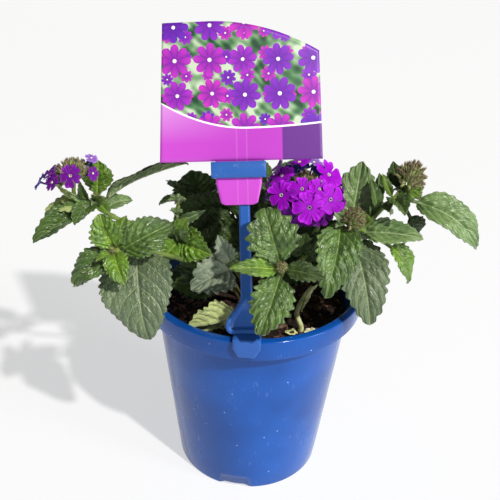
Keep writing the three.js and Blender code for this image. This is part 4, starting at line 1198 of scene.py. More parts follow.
# %% Where the named leaves sit
# name, shoot, place on it, tip, width, green, facing, and what differs from the usual shape
LEAVES = [
    ("far_left_upright", "far_left", 0.97, (-94, -3, 212), 20, "young", (0.25, -0.8, 0.5),
     dict(bow=-0.12, nod=0.1, shoulder=1.15, teeth=7, cut=0.16, relief=1.2)),
    ("far_left_lower", "far_left", 0.93, (-105, -28, 182), 15, "green", (-0.2, -0.5, 0.9),
     dict(teeth=6, relief=1.1)),
    ("far_left_arching", "far_left", 0.87, (-42, 6, 210), 24, "dark", (-0.41, 0.3, 0.71),
     dict(bow=0.07, petiole=0.1, teeth=10)),
    ("far_left_inner", "far_left", 0.78, (-75, -1, 187), 12, "light", (-0.2, -0.5, 0.8), dict(teeth=5)),
    ("far_left_folded", "far_left_branch", 0.3, (-131, -27, 168), 22, "green", (-0.3, -0.7, 0.6),
     dict(fold=42, bow=0.03, teeth=8, radius=BRANCH_RADIUS)),
    ("left_upper", "left", 0.98, (-85, -44, 199), 21, "young", (-0.1, -0.8, 0.5),
     dict(teeth=8, relief=1.2, shoulder=0.85, cut=0.15)),
    ("left_back", "left", 0.98, (-74, -27, 190), 11, "young", (-0.2, -0.6, 0.8), dict(bow=0.06, teeth=6)),
    ("left_inner", "left", 0.9, (-46, -36, 191), 24, "green", (0.1, -0.8, 0.5),
     dict(teeth=10, relief=1.25, bow=0.16, shoulder=0.8)),
    ("left_lower", "left", 0.98, (-69, -63, 165), 16, "young", (0, -0.8, 0.6),
     dict(bow=0.18, teeth=8, relief=1.2, cut=0.15)),
    ("left_outer", "left", 0.93, (-101, -53, 156), 22, "green", (-0.3, -0.6, 0.7),
     dict(fold=26, teeth=9, relief=1.1)),
    ("left_hanging", "left", 0.76, (-57, -59, 126), 45, "old", (-0.1, -0.9, 0.4),
     dict(bow=0.16, fold=8, petiole=0.0, shoulder=0.5, root=0.62, teeth=13, cut=0.07,
          relief=0.5, lean=0.06, nod=-0.03)),
    ("inner_left", "inner_left", 0.74, (-24, -35, 171), 22, "young", (0, -0.9, 0.35),
     dict(bow=0.08, fold=10, teeth=8, relief=1.2, cut=0.15)),
    ("inner_dark", "arching", 0.97, (-42, 16, 200), 31, "dark", (0, -0.9, 0.4),
     dict(bow=-0.1, nod=0.08, teeth=10, shoulder=1.0)),
    ("middle_small", "low_middle", 0.95, (-21, -27, 180), 13, "grey", (0, -0.9, 0.4),
     dict(teeth=6, cut=0.22, relief=1.1)),
    ("middle_grey", "low_middle", 0.85, (-35, -44, 152), 29, "grey", (-0.1, -0.7, 0.7),
     dict(bow=0.16, teeth=7, cut=0.24, relief=1.0, shoulder=0.62)),
    ("pale_underside", "low_front", 1, (-36, -53, 132), 30, "pale", (0, 0.9, 0.35),
     dict(bow=-0.06, teeth=8, cut=0.15, relief=0.6)),
    ("front_upper", "front", 0.97, (6, -50, 211), 31, "green", (0, -0.8, 0.5),
     dict(fold=10, teeth=6, cut=0.26, relief=1.15, shoulder=0.95, root=0.6, nod=0.06)),
    ("front_left", "front", 0.91, (-11, -68, 183), 12, "young", (0, -0.7, 0.7), dict(teeth=8, cut=0.16)),
    ("front_right", "front", 0.96, (41, -62, 176), 13, "dark", (0, -0.7, 0.7), dict(teeth=7, cut=0.2)),
    ("front_lower", "front", 0.84, (7, -79, 148), 26, "green", (0, -0.9, 0.3),
     dict(bow=0.14, fold=12, teeth=8, cut=0.2, relief=1.2, shoulder=0.75)),
    ("right_front", "right_front", 0.9, (43, -51, 156), 29, "green", (0.1, -0.9, 0.4),
     dict(bow=0.14, teeth=10, cut=0.15, shoulder=0.55, root=0.6, relief=1.1, twist=25)),
    ("right_pointing", "right", 0.66, (97, -29, 186), 18, "light", (0, -0.6, 0.8),
     dict(teeth=9, relief=1.2, bow=0.1)),
    ("right_hanging", "right", 0.66, (92, -30, 156), 18, "young", (0.8, -0.6, 0.5),
     dict(bow=0.26, petiole=0.4, fold=18, teeth=8)),
    ("right_lower", "right", 0.62, (70, -49, 138), 32, "old", (0.2, -0.9, 0.4),
     dict(bow=0.18, fold=12, teeth=10, cut=0.12, relief=0.8, shoulder=0.6, root=0.6, twist=-20)),
    ("right_behind", "right", 0.62, (61, 5, 217), 33, "light", (-0.1, -0.9, 0.4),
     dict(petiole=0.1, bow=-0.05, teeth=9, relief=1.1)),
    ("right_folded", "right", 0.85, (84, -33, 203), 17, "green", (0, -0.5, 0.8),
     dict(fold=34, teeth=7, relief=1.2)),
    ("right_under", "right", 0.9, (96, -8, 175), 16, "dark", (0.3, -0.8, 0.5), dict(teeth=6, petiole=0.4)),
    ("right_tip", "right", 0.97, (131, -22, 178), 24, "light", (0.2, -0.6, 0.8),
     dict(bow=0.2, teeth=10, cut=0.08, nod=0.05)),
    ("right_bract", "right_branch", 0.7, (79, 3, 219), 13, "dark", (0.2, -0.9, 0.3),
     dict(bow=-0.12, teeth=6, radius=BRANCH_RADIUS)),
    ("back_left", "back", 0.95, (-18, 62, 194), 22, "green", (-0.1, 0.5, 0.9), {}),
    ("back_right", "back", 0.95, (34, 60, 192), 22, "green", (0.1, 0.5, 0.9), {}),
    ("back_lower", "back", 0.86, (6, 84, 160), 28, "old", (0, 0.8, 0.6), dict(bow=0.18, teeth=10)),
    ("back_right_outer", "back_right", 1, (90, 52, 160), 26, "green", (0.5, 0.3, 0.9), {}),
    ("back_right_lower", "back_right", 0.9, (58, 72, 144), 30, "old", (0.2, 0.9, 0.5),
     dict(bow=0.2, teeth=10)),
    ("back_right_upper", "back_right", 0.9, (62, 28, 196), 20, "young", (0.4, -0.2, 0.8), {}),
    ("back_left_outer", "back_left", 1, (-55, 78, 156), 25, "green", (-0.1, 0.4, 0.9), {}),
    ("back_left_lower", "back_left", 0.86, (-24, 76, 138), 27, "old", (-0.2, 0.9, 0.5),
     dict(bow=0.2, teeth=10)),
]

print(len(LEAVES), "leaves, the largest", max(leaf[4] for leaf in LEAVES), "mm wide")

# %% The named leaves
slot_of = {entry["node"]: entry["material_slot"] for entry in frame["record"]["subparts"]}
for name, curve, at, tip, width, green, face, shape in LEAVES:
    node, radius = "leaf_" + name, shape.pop("radius", STEM_RADIUS)
    skin = Skin()
    points, faces, maps = leaf_sheet(leaf_base(curve, at, tip, radius), tip, width, face, seed=name, **shape)
    skin.take(points, faces, **maps)
    skin.finish(node + "_blade", greens[green], slot_of[node], [node])
print("the last of them has", skin.count, "points")

# %% [markdown]
# ## The inner leaves
# A young verbena is dense. Below the leaves that one notices sit older pairs, half hidden and in
# shade, and every tip has a few bracts. Most of these older pairs take the dark green, which is
# painted shade. They are too many and too small for the frame, so they are made here only. All
# inner leaves of one green are one piece.

# %% The places of the inner leaves
# shoot, place on it, tip, width, green, facing
INNER = [
    ("back_left", 0.45, (-50, 14, 152), 26, "dark", (-0.2, -0.9, 0.5)),
    ("back_left", 0.62, (-10, 28, 160), 24, "dark", (0.1, -0.9, 0.5)),
    ("far_left", 0.33, (-50, 10, 147), 24, "dark", (-0.2, -0.9, 0.5)),
    ("far_left", 0.30, (-56, -6, 138), 24, "dark", (-0.1, -0.9, 0.4)),
    ("left", 0.36, (-50, -20, 139), 22, "dark", (0, -0.9, 0.4)),
    ("far_left", 0.42, (-22, -4, 176), 20, "dark", (0.1, -0.9, 0.5)),
    ("arching", 0.45, (-34, 0, 160), 26, "dark", (-0.1, -0.9, 0.5)),
    ("arching", 0.6, (10, 16, 172), 24, "dark", (0.1, -0.9, 0.5)),
    ("arching", 0.7, (-2, 8, 190), 18, "dark", (0.1, -0.9, 0.4)),
    ("back", 0.45, (-16, 24, 152), 26, "dark", (-0.1, -0.9, 0.5)),
    ("back", 0.6, (32, 32, 160), 26, "dark", (0.1, -0.9, 0.5)),
    ("back", 0.75, (-16, 34, 184), 22, "dark", (0, -0.8, 0.6)),
    ("back", 0.8, (32, 30, 190), 22, "dark", (0, -0.8, 0.6)),
    ("back_right", 0.42, (46, 8, 152), 26, "dark", (0.1, -0.9, 0.5)),
    ("back_right", 0.6, (24, 34, 168), 22, "dark", (0, -0.9, 0.5)),
    ("back_right", 0.7, (58, 8, 170), 22, "dark", (0.2, -0.9, 0.5)),
    ("right", 0.35, (44, 2, 156), 24, "dark", (0.2, -0.9, 0.5)),
    ("right", 0.5, (58, -12, 158), 22, "dark", (0.2, -0.9, 0.5)),
    ("right", 0.45, (30, -2, 184), 20, "dark", (0, -0.9, 0.5)),
    ("flower", 0.4, (30, -16, 158), 18, "dark", (0.1, -0.9, 0.5)),
    ("flower", 0.6, (4, 4, 180), 20, "dark", (-0.1, -0.9, 0.5)),
    ("left", 0.42, (-46, -12, 150), 22, "dark", (-0.2, -0.9, 0.5)),
    ("arching", 0.50, (-52, 7, 171), 30, "dark", (-0.1, -0.9, 0.3)),
    ("arching", 0.42, (-46, 4, 151), 28, "dark", (-0.1, -0.9, 0.3)),
    ("arching", 0.62, (-40, 9, 186), 22, "dark", (-0.1, -0.9, 0.3)),
    ("inner_left", 0.4, (-34, 2, 148), 22, "dark", (-0.1, -0.9, 0.5)),
    ("right_front", 0.5, (50, -8, 160), 18, "dark", (0.2, -0.8, 0.5)),
    ("right_front", 0.55, (30, -20, 181), 17, "dark", (0, -0.9, 0.4)),
    ("right_front", 0.95, (66, -14, 174), 15, "dark", (0.3, -0.8, 0.5)),
    ("arching", 0.55, (-60, 4, 161), 26, "dark", (-0.1, -0.9, 0.3)),
    ("arching", 0.8, (-51, 3, 178), 22, "dark", (-0.1, -0.9, 0.3)),
    ("flower", 0.75, (3, 0, 198), 22, "dark", (-0.1, -0.9, 0.4)),
    ("flower", 0.7, (22, 14, 204), 24, "dark", (0, -0.9, 0.3)),
    ("flower", 0.7, (42, 6, 198), 20, "dark", (0.1, -0.9, 0.3)),
    ("left", 0.95, (-71, -40, 188), 9, "young", (0, -0.9, 0.4)),
    ("back_left", 0.8, (-22, 50, 176), 24, "green", (0, 0.4, 0.9)),
    ("back_right", 0.8, (24, 56, 172), 24, "green", (0, 0.4, 0.9)),
    ("back", 0.6, (-10, 66, 158), 24, "green", (-0.1, 0.8, 0.6)),
    ("back_left", 0.9, (-66, 36, 166), 18, "young", (-0.3, 0.1, 0.9)),
    ("inner_left", 0.86, (-29, -18, 191), 8, "light", (0.1, -0.9, 0.4)),
    ("inner_left", 0.76, (-39, -27, 190), 17, "young", (-0.1, -0.9, 0.35)),
    ("inner_left", 0.72, (-54, -32, 163), 14, "young", (0, -0.85, 0.5)),
    ("far_left_branch", 0.35, (-103, -15, 204), 7, "dark", (0, -0.9, 0.2)),
    ("left", 0.99, (-86, -57, 176), 7, "young", (0, -0.5, 0.9)),
    ("far_left_branch", 0.3, (-126, -14, 183), 13, "pale", (0.1, -0.5, 0.9)),
    ("far_left_branch", 0.45, (-118, -13, 201), 5, "pale", (-0.5, -0.8, 0.2)),
    ("far_left_branch", 0.2, (-112, -15, 196), 5, "light", (0.2, -0.9, 0.2)),
    ("far_left", 0.9, (-86, -16, 184), 9, "young", (0, -0.6, 0.8)),
    ("far_left", 0.96, (-88, -18, 196), 8, "young", (0.2, -0.9, 0.4)),
    ("right_branch", 0.1, (72, -6, 215), 6, "young", (0, -0.9, 0.3)),
    ("right", 0.93, (96, -8, 210), 10, "young", (0.1, -0.9, 0.3)),
    ("right", 0.76, (66, -4, 210), 9, "green", (0.3, -0.8, 0.3)),
    ("right", 0.72, (72, 4, 211), 9, "green", (0.1, -0.9, 0.3)),
    ("right", 0.70, (60, -23, 199), 8, "young", (0, -0.9, 0.4)),
    ("right", 0.80, (76, -25, 200), 9, "green", (0, -0.9, 0.4)),
    ("right_branch", 0.6, (90, -18, 207), 8, "young", (0.4, -0.7, 0.5)),
    ("right_front", 0.95, (45, -32, 201), 8, "light", (-0.2, -0.8, 0.5)),
    ("right_front", 0.93, (46, -34, 193), 6, "light", (-0.3, -0.7, 0.5)),
    ("right_front", 1.0, (64, -32, 190), 7, "young", (0.3, -0.8, 0.5)),
]
print(len(INNER), "inner leaves")

# %% Inner leaves
gathered = {green: Skin() for green in greens}
for i, (curve, at, tip, width, green, face) in enumerate(INNER):
    foot = leaf_base(curve, at, tip, BRANCH_RADIUS if "branch" in curve else STEM_RADIUS)
    small = width < 10
    points, faces, maps = leaf_sheet(
        foot, tip, width, face, teeth=9 if width > 15 else 6, cut=0.15, fold=30 if small else 16,
        mesh=0.6 if small else 1.2, seed=f"inner{i}")
    gathered[green].take(points, faces, **maps)

print("greens used inside:", ", ".join(green for green in gathered if gathered[green].count))

# %% Sprigs of bracts
# each sprig: its middle, the length of its bracts and how many there are
SPRIG_TURN = 2.4
SPRIGS = [((-46, -12, 193), 6.0, 7), ((-47, -14, 185.5), 5.5, 6), ((-95, -13, 190), 6.0, 6),
          ((84, -12, 207), 6, 5)]
for i, (middle, length, count) in enumerate(SPRIGS):
    draw = random.Random(f"sprig{i}")
    for k in range(count):
        turn = k * SPRIG_TURN + draw.uniform(-0.3, 0.3)
        out = np.array([math.cos(turn), math.sin(turn), draw.uniform(0.1, 1.0)])
        tip = np.array(middle) + unit(out) * length * draw.uniform(0.8, 1.1)
        points, faces, maps = leaf_sheet(middle, tip, 3.4, (-out[0], -out[1], 0.8), teeth=3, fold=25,
                                         mesh=0.5, seed=f"sprig{i}{k}")
        gathered["light"].take(points, faces, **maps)

# the dark green, which is painted shade, shares the old leaves' slot
SHADE_PAINTED_AND_OLD = ("dark", "grey", "old")
for green, skin in gathered.items():
    if skin.count:
        slot = "leaf_old" if green in SHADE_PAINTED_AND_OLD else "leaf_green"
        skin.finish("inner_leaves_" + green, greens[green], slot)
        print("inner leaves,", green + ":", len(skin.faces), "faces")

# %% [markdown]
# ## The stems
# Low down a shoot turns brown and woody, and higher up it stays a mottled green, kept dark as
# painted shade for stems that run among the leaves. Its skin has a fine grain, and a dull sheen
# from the hairs that are too short to draw. One shoot has dried up: it is straw-coloured, made
# paler still as painted light for the sun that falls on it, and its last leaves have folded into
# twisted strips.

# %% Stem skins
stem_skin, tree, shader = start_material(
    "hairy_stem", Roughness=0.6, IOR=1.42, Sheen_Weight=0.35, Sheen_Roughness=0.4,
    Sheen_Tint="#e4ecd0")
place = add(tree, "TexCoord", out="Object")
height = axis(tree, place, 2)
# the mottled green is kept dark: painted shade for stems that run among the leaves
shade_darkened_green = ramp(tree, noise_on(tree, place, 60.0, 3.0), (0.35, "#435a24"), (0.6, "#6f8438"))
aged = remap(tree, height, (0.128, 0.160), (0.75, 0.0))
tone = blend(tree, aged, shade_darkened_green, "#5a4430")
grain = noise_on(tree, place, 900.0, 3.0)
link(tree, shader, Base_Color=tone, Normal=bump(tree, grain, 0.5, 0.0003))

straw_and_painted_light_skin, tree, shader = start_material("dried_shoot_painted_light", Roughness=0.8, IOR=1.4)
blotch = noise_on(tree, add(tree, "TexCoord", out="Object"), 160.0, 4.0)
# the straw tones are lightened beyond the shoot's own colour: painted light for the sun on it
tone = ramp(tree, blotch, (0.32, "#a7b078"), (0.5, "#d3d69e"), (0.68, "#eceacb"))
link(tree, shader, Base_Color=tone, Normal=bump(tree, blotch, 0.5, 0.0006))

print("stem skins:", stem_skin.name, "and", straw_and_painted_light_skin.name)

# %% Stem builder
STEM_SIDES, HAIRS_A_MM, HAIR_HALF = 12, 5, 0.07


def stem_into(skin, points, radius, joints, taper=0.8):
    """Adds a stem along a curve, swollen at its joints, with hairs standing out of it."""
    path = along_spline(points)
    run = distance_along(path)
    radii = radius * (1 - (1 - taper) * run / run[-1])
    for joint in joints:
        radii = radii * (1 + 0.3 * np.exp(-((run - run[-1] * joint) / 1.8) ** 2))
    radii = radii * np.clip(np.sqrt((run[-1] - run) / 1.2), 0.25, 1)
    skin.take(*tube(path, radii, STEM_SIDES, 0.1))
    draw = random.Random(len(path))
    across, beside = carried_frames(path)
    along = unit(np.gradient(path, axis=0))
    for _ in range(int(HAIRS_A_MM * run[-1])):
        i, angle = draw.randrange(2, len(path) - 1), draw.uniform(0, 2 * math.pi)
        out = math.cos(angle) * across[i] + math.sin(angle) * beside[i]
        foot = path[i] + out * radii[i] * 0.95 + along[i] * draw.uniform(-0.5, 0.5)
        tip = foot + out * draw.uniform(0.5, 1.1) + along[i] * draw.uniform(0, 0.4)
        up, over = along[i] * HAIR_HALF, np.cross(out, along[i]) * HAIR_HALF
        skin.take([foot + up, foot - up + over, foot - up - over, tip],
                  [[0, 1, 2], [0, 3, 1], [1, 3, 2], [2, 3, 0]])


print("hairs:", HAIRS_A_MM, "to a millimetre of stem")

# %% Stems with their nodes and hairs
# each withered leaf: its foot, tip, width and facing
WITHERED = [((31, -30, 132), (39, -30, 152), 3.6, (0.6, -0.6, 0.5)),
            ((33, -33, 119.5), (41, -37, 124), 6, (0, -0.5, 0.9)),
            ((29, -34, 119.5), (22, -39, 123), 6, (0, -0.5, 0.9))]
for name, (course, *branch) in SHOOTS.items():
    skin = Skin()
    stem_into(skin, curves[name], STEM_RADIUS, [leaf[2] for leaf in LEAVES if leaf[1] == name])
    if branch:
        twig = name + "_branch"
        stem_into(skin, curves[twig], BRANCH_RADIUS, [leaf[2] for leaf in LEAVES if leaf[1] == twig])
    dried = name == "dry"
    for i, (start, end, wide, face) in enumerate(WITHERED if dried else []):
        points, faces, _ = leaf_sheet(start, end, wide, face, bow=-0.1, fold=48, wave=2.5, teeth=5,
                                      cut=0.2, relief=1.2, twist=70, mesh=0.6, seed=f"dry{i}")
        skin.take(points, faces)
    node = "shoot_" + name
    skin.finish("stem_" + name, straw_and_painted_light_skin if dried else stem_skin, slot_of[node], [node])
print(len(SHOOTS), "shoots")

# %% [markdown]
# ## The florets
# A verbena head is made of many small florets. Each is a tube 12 mm long that opens into five
# lobes, notched at their ends and twisted a little like a pinwheel. Petals are soft, with a
# satin sheen from their raised cells, purple above and bluer below. The throat is ringed with
# white hairs around a dark hole. Old florets at the rim face outwards, and the middle still
# holds closed green calyces, because a head opens from the rim inwards. A map called petal
# gives the distance from the throat and the angle; under the petal, its distance starts at 2.

# %% Petal skin
def petal_skin(name, deep, full, light, under_side):
    """Petal tissue: deep at the throat, full over the lobes, lighter where its cells catch light."""
    material, tree, shader = start_material(
        name, Roughness=0.55, IOR=1.36, Specular_IOR_Level=0.3, Sheen_Weight=0.04,
        Sheen_Roughness=0.35, Sheen_Tint=light, Subsurface_Weight=0.05,
        Subsurface_Scale=0.0006, Subsurface_Radius=(1.0, 0.3, 1.0))
    chart = add(tree, "UVMap", uv_map="petal")
    reach = axis(tree, chart, 0)
    under = compute(tree, "GREATER_THAN", reach, UNDER - 0.5)
    reach = compute(tree, "FLOORED_MODULO", reach, UNDER)
    turn = axis(tree, chart, 1)
    rays = noise_on(tree, add(tree, "CombineXYZ", {0: reach, 1: turn}), 2.4, 3.0)
    streak = compute(tree, "MULTIPLY", turn, 26.0)
    streak = compute(tree, "SINE", streak)
    mixed = compute(tree, "MULTIPLY_ADD", rays, 0.5, reach)
    mixed = compute(tree, "MULTIPLY_ADD", streak, 0.012, mixed)
    mixed = compute(tree, "MULTIPLY", mixed, 0.7)
    colour = ramp(tree, mixed, (0.24, deep), (0.36, full), (0.70, full), (0.88, light))
    colour = blend(tree, under, colour, under_side)
    cells = noise_on(tree, add(tree, "TexCoord", out="Object"), 1500.0)
    height = compute(tree, "MULTIPLY_ADD", streak, 0.2, cells)
    link(tree, shader, Base_Color=colour, Normal=bump(tree, height, 0.35, 0.0003))
    return material


print("petal skin ready; under a petal its map starts at", UNDER)

# %% Three purples, the throat and the calyx
petals = {
    "open": petal_skin("open_petal", "#580488", "#9600ba", "#b01cd6", "#4a3aa6"),
    # the second purple is painted shade: darker petals for the florets that lie in shadow
    "shade_painted": petal_skin("shade_painted_petal", "#3c065c", "#68118a", "#86289f", "#3f3590"),
    "faded": petal_skin("fading_petal", "#5a2f90", "#8a5cba", "#b79bd8", "#7f7ccc"),
}

throat_skin, tree, shader = start_material("throat_hairs", Roughness=0.6, Sheen_Weight=0.3)
speck = noise_on(tree, add(tree, "TexCoord", out="Object"), 1800.0)
link(tree, shader, Base_Color=ramp(tree, speck, (0.35, "#c9c79a"), (0.55, "#f4f0dc")))

calyx_skin, tree, shader = start_material(
    "hairy_calyx", Roughness=0.55, IOR=1.42, Sheen_Weight=0.4, Sheen_Roughness=0.4,
    Sheen_Tint="#efe6dc")
along = axis(tree, add(tree, "UVMap", uv_map="along"), 0)
own = axis(tree, add(tree, "UVMap", uv_map="along"), 1)
patch = noise_on(tree, add(tree, "TexCoord", out="Object"), 420.0, 3.0)
shifted = compute(tree, "MULTIPLY_ADD", patch, 0.45, along)
shifted = compute(tree, "MULTIPLY_ADD", own, 0.35, shifted)
shifted = compute(tree, "MULTIPLY", shifted, 0.6)
tone = ramp(tree, shifted, (0.12, "#a6b866"), (0.52, "#8f9f5c"), (0.68, "#857c54"), (0.84, "#5c4a42"))
link(tree, shader, Base_Color=tone, Normal=bump(tree, patch, 0.6, 0.0003))
print("petals:", ", ".join(petals))

# %% [markdown]
# ## One floret
# The five lobes are one thin sheet. Rings of points run from the eye out to an edge that dips
# between the lobes and is notched in the middle of each. Each floret draws its own cup, droop
# and turn from its seed, and each lobe its own size, so that no two are alike. The tube is
# swept along a curve that starts behind the eye and bends towards the foot of the head.
# Fourteen short hairs stand round the throat.

# %% Spokes round a direction
def any_across(direction):
    """Two directions at right angles to the given one and to each other."""
    across = unit(np.cross(direction, (0.13, 0.27, 0.95) if abs(direction[2]) < 0.9 else (1, 0.2, 0)))
    return across, np.cross(direction, across)


def spoke(angle, across, beside):
    """The direction at an angle between two others."""
    return math.cos(angle) * across + math.sin(angle) * beside


print("across a line that runs straight up:", any_across((0, 0, 1))[0].round(2))

# %% The lobes of a floret
LOBES, PETAL_THICKNESS = 5, 0.22


def floret_shape(eye, normal, radius, spin=0.0, seed=0, cup=0.1, droop=0.22):
    """The points and faces of five joined lobes, and their map."""
    draw = random.Random(seed)
    normal = unit(np.array(normal, float))
    across, beside = any_across(normal)
    slices, rings = 16 * LOBES, 13
    angle = round_angles(slices)
    lobe = (angle / (2 * math.pi) * LOBES).astype(int)
    off = np.degrees(angle) % (360 / LOBES) - 180 / LOBES
    own = np.array([[draw.uniform(*span) for span in ((0.9, 1.06), (-0.5, 1), (0.6, 1.4))]
                    for _ in range(LOBES)])
    size, tip, lean = own[lobe].T
    edge = 0.36 + 0.66 * np.clip(1 - np.abs(off / (180 / LOBES)) ** 4.6, 0, 1) ** 0.5
    notch = np.array([draw.uniform(0.06, 0.13) for _ in range(LOBES)])[lobe]
    edge = edge * (1 - notch * np.exp(-((off - draw.uniform(-2, 2)) / 8) ** 2)) * size
    r = np.concatenate([[0.07, 0.1], np.linspace(0.15, 1, rings - 2)])[:, None]
    reach = np.maximum(r * edge, 0.07)
    height = cup * reach ** 2 - 0.10 * np.exp(-(reach / 0.1) ** 2)
    height = height + 0.10 * lean * (off / 36) * reach ** 1.5
    height = height - droop * tip * np.clip(reach - 0.45, 0, 1) ** 2 * 2
    height = height - 0.03 * np.exp(-(off / 8) ** 2) * reach
    height = height + 0.025 * np.sin(off / 3.1 + 7 * reach) * reach
    turned_to = (angle + spin + 0.10 * reach)[..., None]
    flat = np.cos(turned_to) * across + np.sin(turned_to) * beside
    top = np.array(eye, float) + radius * (flat * reach[..., None] + height[..., None] * normal)
    back = top - normal * PETAL_THICKNESS
    count = rings * slices
    faces = grid_faces(rings, slices, wrap=True)
    faces += [face[::-1] for face in grid_faces(rings, slices, count, wrap=True)]
    last = count - slices
    for i in range(slices):
        j = (i + 1) % slices
        faces.append([last + j, last + i, last + i + count, last + j + count])
    faces += [list(range(slices)), list(range(count, count + slices))[::-1]]
    chart = np.stack(np.broadcast_arrays(r, angle[None, :]), -1).reshape(-1, 2)
    points = np.concatenate([top.reshape(-1, 3), back.reshape(-1, 3)])
    return points, faces, np.concatenate([chart, chart + [UNDER, 0]])


example = floret_shape((0, 0, 0), (0, 0, 1), 8)
print("a floret has", len(example[1]), "faces")

# %% A whole floret
def arc(start, start_direction, end, steps):
    """Points on a curve that leaves its start in a direction and reaches its end."""
    start, end = np.array(start, float), np.array(end, float)
    bend = start + unit(start_direction) * np.linalg.norm(end - start) * 0.5
    t = np.linspace(0, 1, steps)[:, None]
    return bezier(start, bend, end, t)


TUBE_RADII, THROAT_HAIRS = (0.75, 0.6, 0.55, 0.55, 0.6, 0.6, 0.5, 0.4), 14


def add_floret(lobes, throats, eye, normal, radius, foot, seed):
    """Adds one floret with its tube and the ring of hairs at its throat."""
    draw = random.Random(seed)
    normal = unit(np.array(normal, float))
    spin, cup, droop = (draw.uniform(*span) for span in ((0, 1.2), (-0.02, 0.14), (0.1, 0.4)))
    points, faces, chart = floret_shape(eye, normal, radius, spin, seed, cup, droop)
    lobes.take(points, faces, petal=chart)
    path = arc(np.array(eye) - normal * 0.09 * radius, -normal, foot, len(TUBE_RADII))
    lobes.take(*tube(path, TUBE_RADII, 8), petal=(UNDER + 0.6, 0.0))
    across, beside = any_across(normal)
    for i in range(THROAT_HAIRS):
        out = spoke(i * 2 * math.pi / THROAT_HAIRS + draw.uniform(-0.15, 0.15), across, beside)
        wide = radius * 0.085
        start = np.array(eye) + out * wide + normal * (-0.09 * radius)
        end = np.array(eye) + out * (wide + draw.uniform(0.02, 0.2))
        end = end + normal * (0.02 * radius + draw.uniform(0.0, 0.25))
        throats.take(*tube([start, (start + end) / 2 + out * 0.05, end], [0.2, 0.2, 0.11], 5))


print("a floret's tube narrows from", max(TUBE_RADII), "to", min(TUBE_RADII), "mm in radius")

# %% [markdown]
# ## One calyx
# A calyx is the green cup that holds a floret: a narrow ribbed spindle that ends in five
# pointed sepals. The spindle is a tube with eight radii along its length, and each sepal is a
# thin cone at its end. In a head, the tips of the calyces lie on a dome. Turning each one by
# the golden angle from the last spreads them evenly, as they grow on the plant.

# %% Calyx builder
CALYX_SIDES, SEPALS = 10, 5


def add_calyx(skin, foot, tip, width, own, opened=0.0):
    """Adds one calyx: a ribbed spindle whose five sepal points stand round its end."""
    foot, tip = np.array(foot, float), np.array(tip, float)
    direction = unit(tip - foot)
    draw = random.Random(own)
    across, beside = any_across(direction)
    bend = across * draw.uniform(-0.5, 0.5)
    t = np.linspace(0, 1, 8)[:, None]
    path = foot + (tip - foot) * t + bend * np.sin(math.pi * t)
    profile = [0.35, 0.7, 0.95, 1.0, 0.92, 0.8, 0.6 + 0.3 * opened, 0.3 + 0.5 * opened]
    radii = np.array(profile) * width / 2
    shade = draw.random() - 0.5
    chart = np.column_stack([np.repeat(t[:, 0], CALYX_SIDES), np.full(len(t) * CALYX_SIDES, shade)])
    skin.take(*tube(path, radii, CALYX_SIDES, 0.12), along=chart)
    length = np.linalg.norm(tip - foot)
    sepal_radii = [width * 0.13, width * 0.10, width * 0.03]
    for i in range(SEPALS):
        out = spoke(i * 2 * math.pi / SEPALS + draw.uniform(-0.2, 0.2), across, beside)
        start = foot + (tip - foot) * 0.8 + out * radii[6] * 0.7
        end = tip + direction * length * draw.uniform(0.03, 0.10)
        end = end + out * radii[6] * draw.uniform(0.8, 1.3)
        sepal = tube([start, (start + end) / 2 + out * 0.1, end], sepal_radii, 4)
        skin.take(*sepal, along=(1.05, draw.random() - 0.5))


trial = Skin()
add_calyx(trial, (0, 0, 0), (0, 0, 8), 2, 1)
print("a calyx has", len(trial.faces), "faces")

# %% A dome of calyces
GOLDEN_ANGLE = 2.39996


def dome_spots(count, widest, seed):
    """Directions spread evenly over a dome: each is (angle from its top, angle round it)."""
    draw = random.Random(seed)
    spots = []
    for i in range(count):
        tilt = math.acos(1 - (1 - math.cos(widest)) * (i + 0.5) / count)
        spots.append((tilt * draw.uniform(0.93, 1.05), i * GOLDEN_ANGLE + draw.uniform(-0.25, 0.25)))
    return spots


def add_calyces(skin, foot, upward, radius, height, count, width, widest, seed, length,
                spread=0.2, opened=0.0):
    """Fills a dome with calyces that fan out from the end of the stem."""
    foot, upward = np.array(foot, float), unit(np.array(upward, float))
    across, beside = any_across(upward)
    draw = random.Random(seed)
    for i, (tilt, turn) in enumerate(dome_spots(count, widest, seed)):
        out = spoke(turn, across, beside)
        tip = foot + upward * height * math.cos(tilt) * draw.uniform(0.9, 1.04)
        tip = tip + out * radius * math.sin(tilt)
        root = foot + out * spread * radius * math.sin(tilt)
        root = root + upward * height * draw.uniform(0.05, 0.25)
        reach = np.linalg.norm(tip - root)
        start = tip - unit(tip - root) * min(length * draw.uniform(0.85, 1.15), reach)
        add_calyx(skin, start, tip, width * draw.uniform(0.85, 1.15), seed * 1000 + i, opened)
        if np.linalg.norm(start - root) > 1:
            stalk = tube([root, (root + start) / 2, start], [0.5, 0.45, 0.5], 5)
            skin.take(*stalk, along=(0.1, 0.0))


print("a dome of 84 spots starts at", [round(v, 2) for v in dome_spots(84, 1.0, 3)[0]], "radians")

# %% [markdown]
# ## The flower heads
# Each head stands at the end of its shoot. Its florets are placed one by one, because the way
# they overlap makes its outline: those on top face up, and those at the rim face outwards or
# down. Each floret's tube stands in a calyx of its own, and a dome of closed calyces fills the
# middle. The right head is the larger one, and most of its petals are at their brightest.

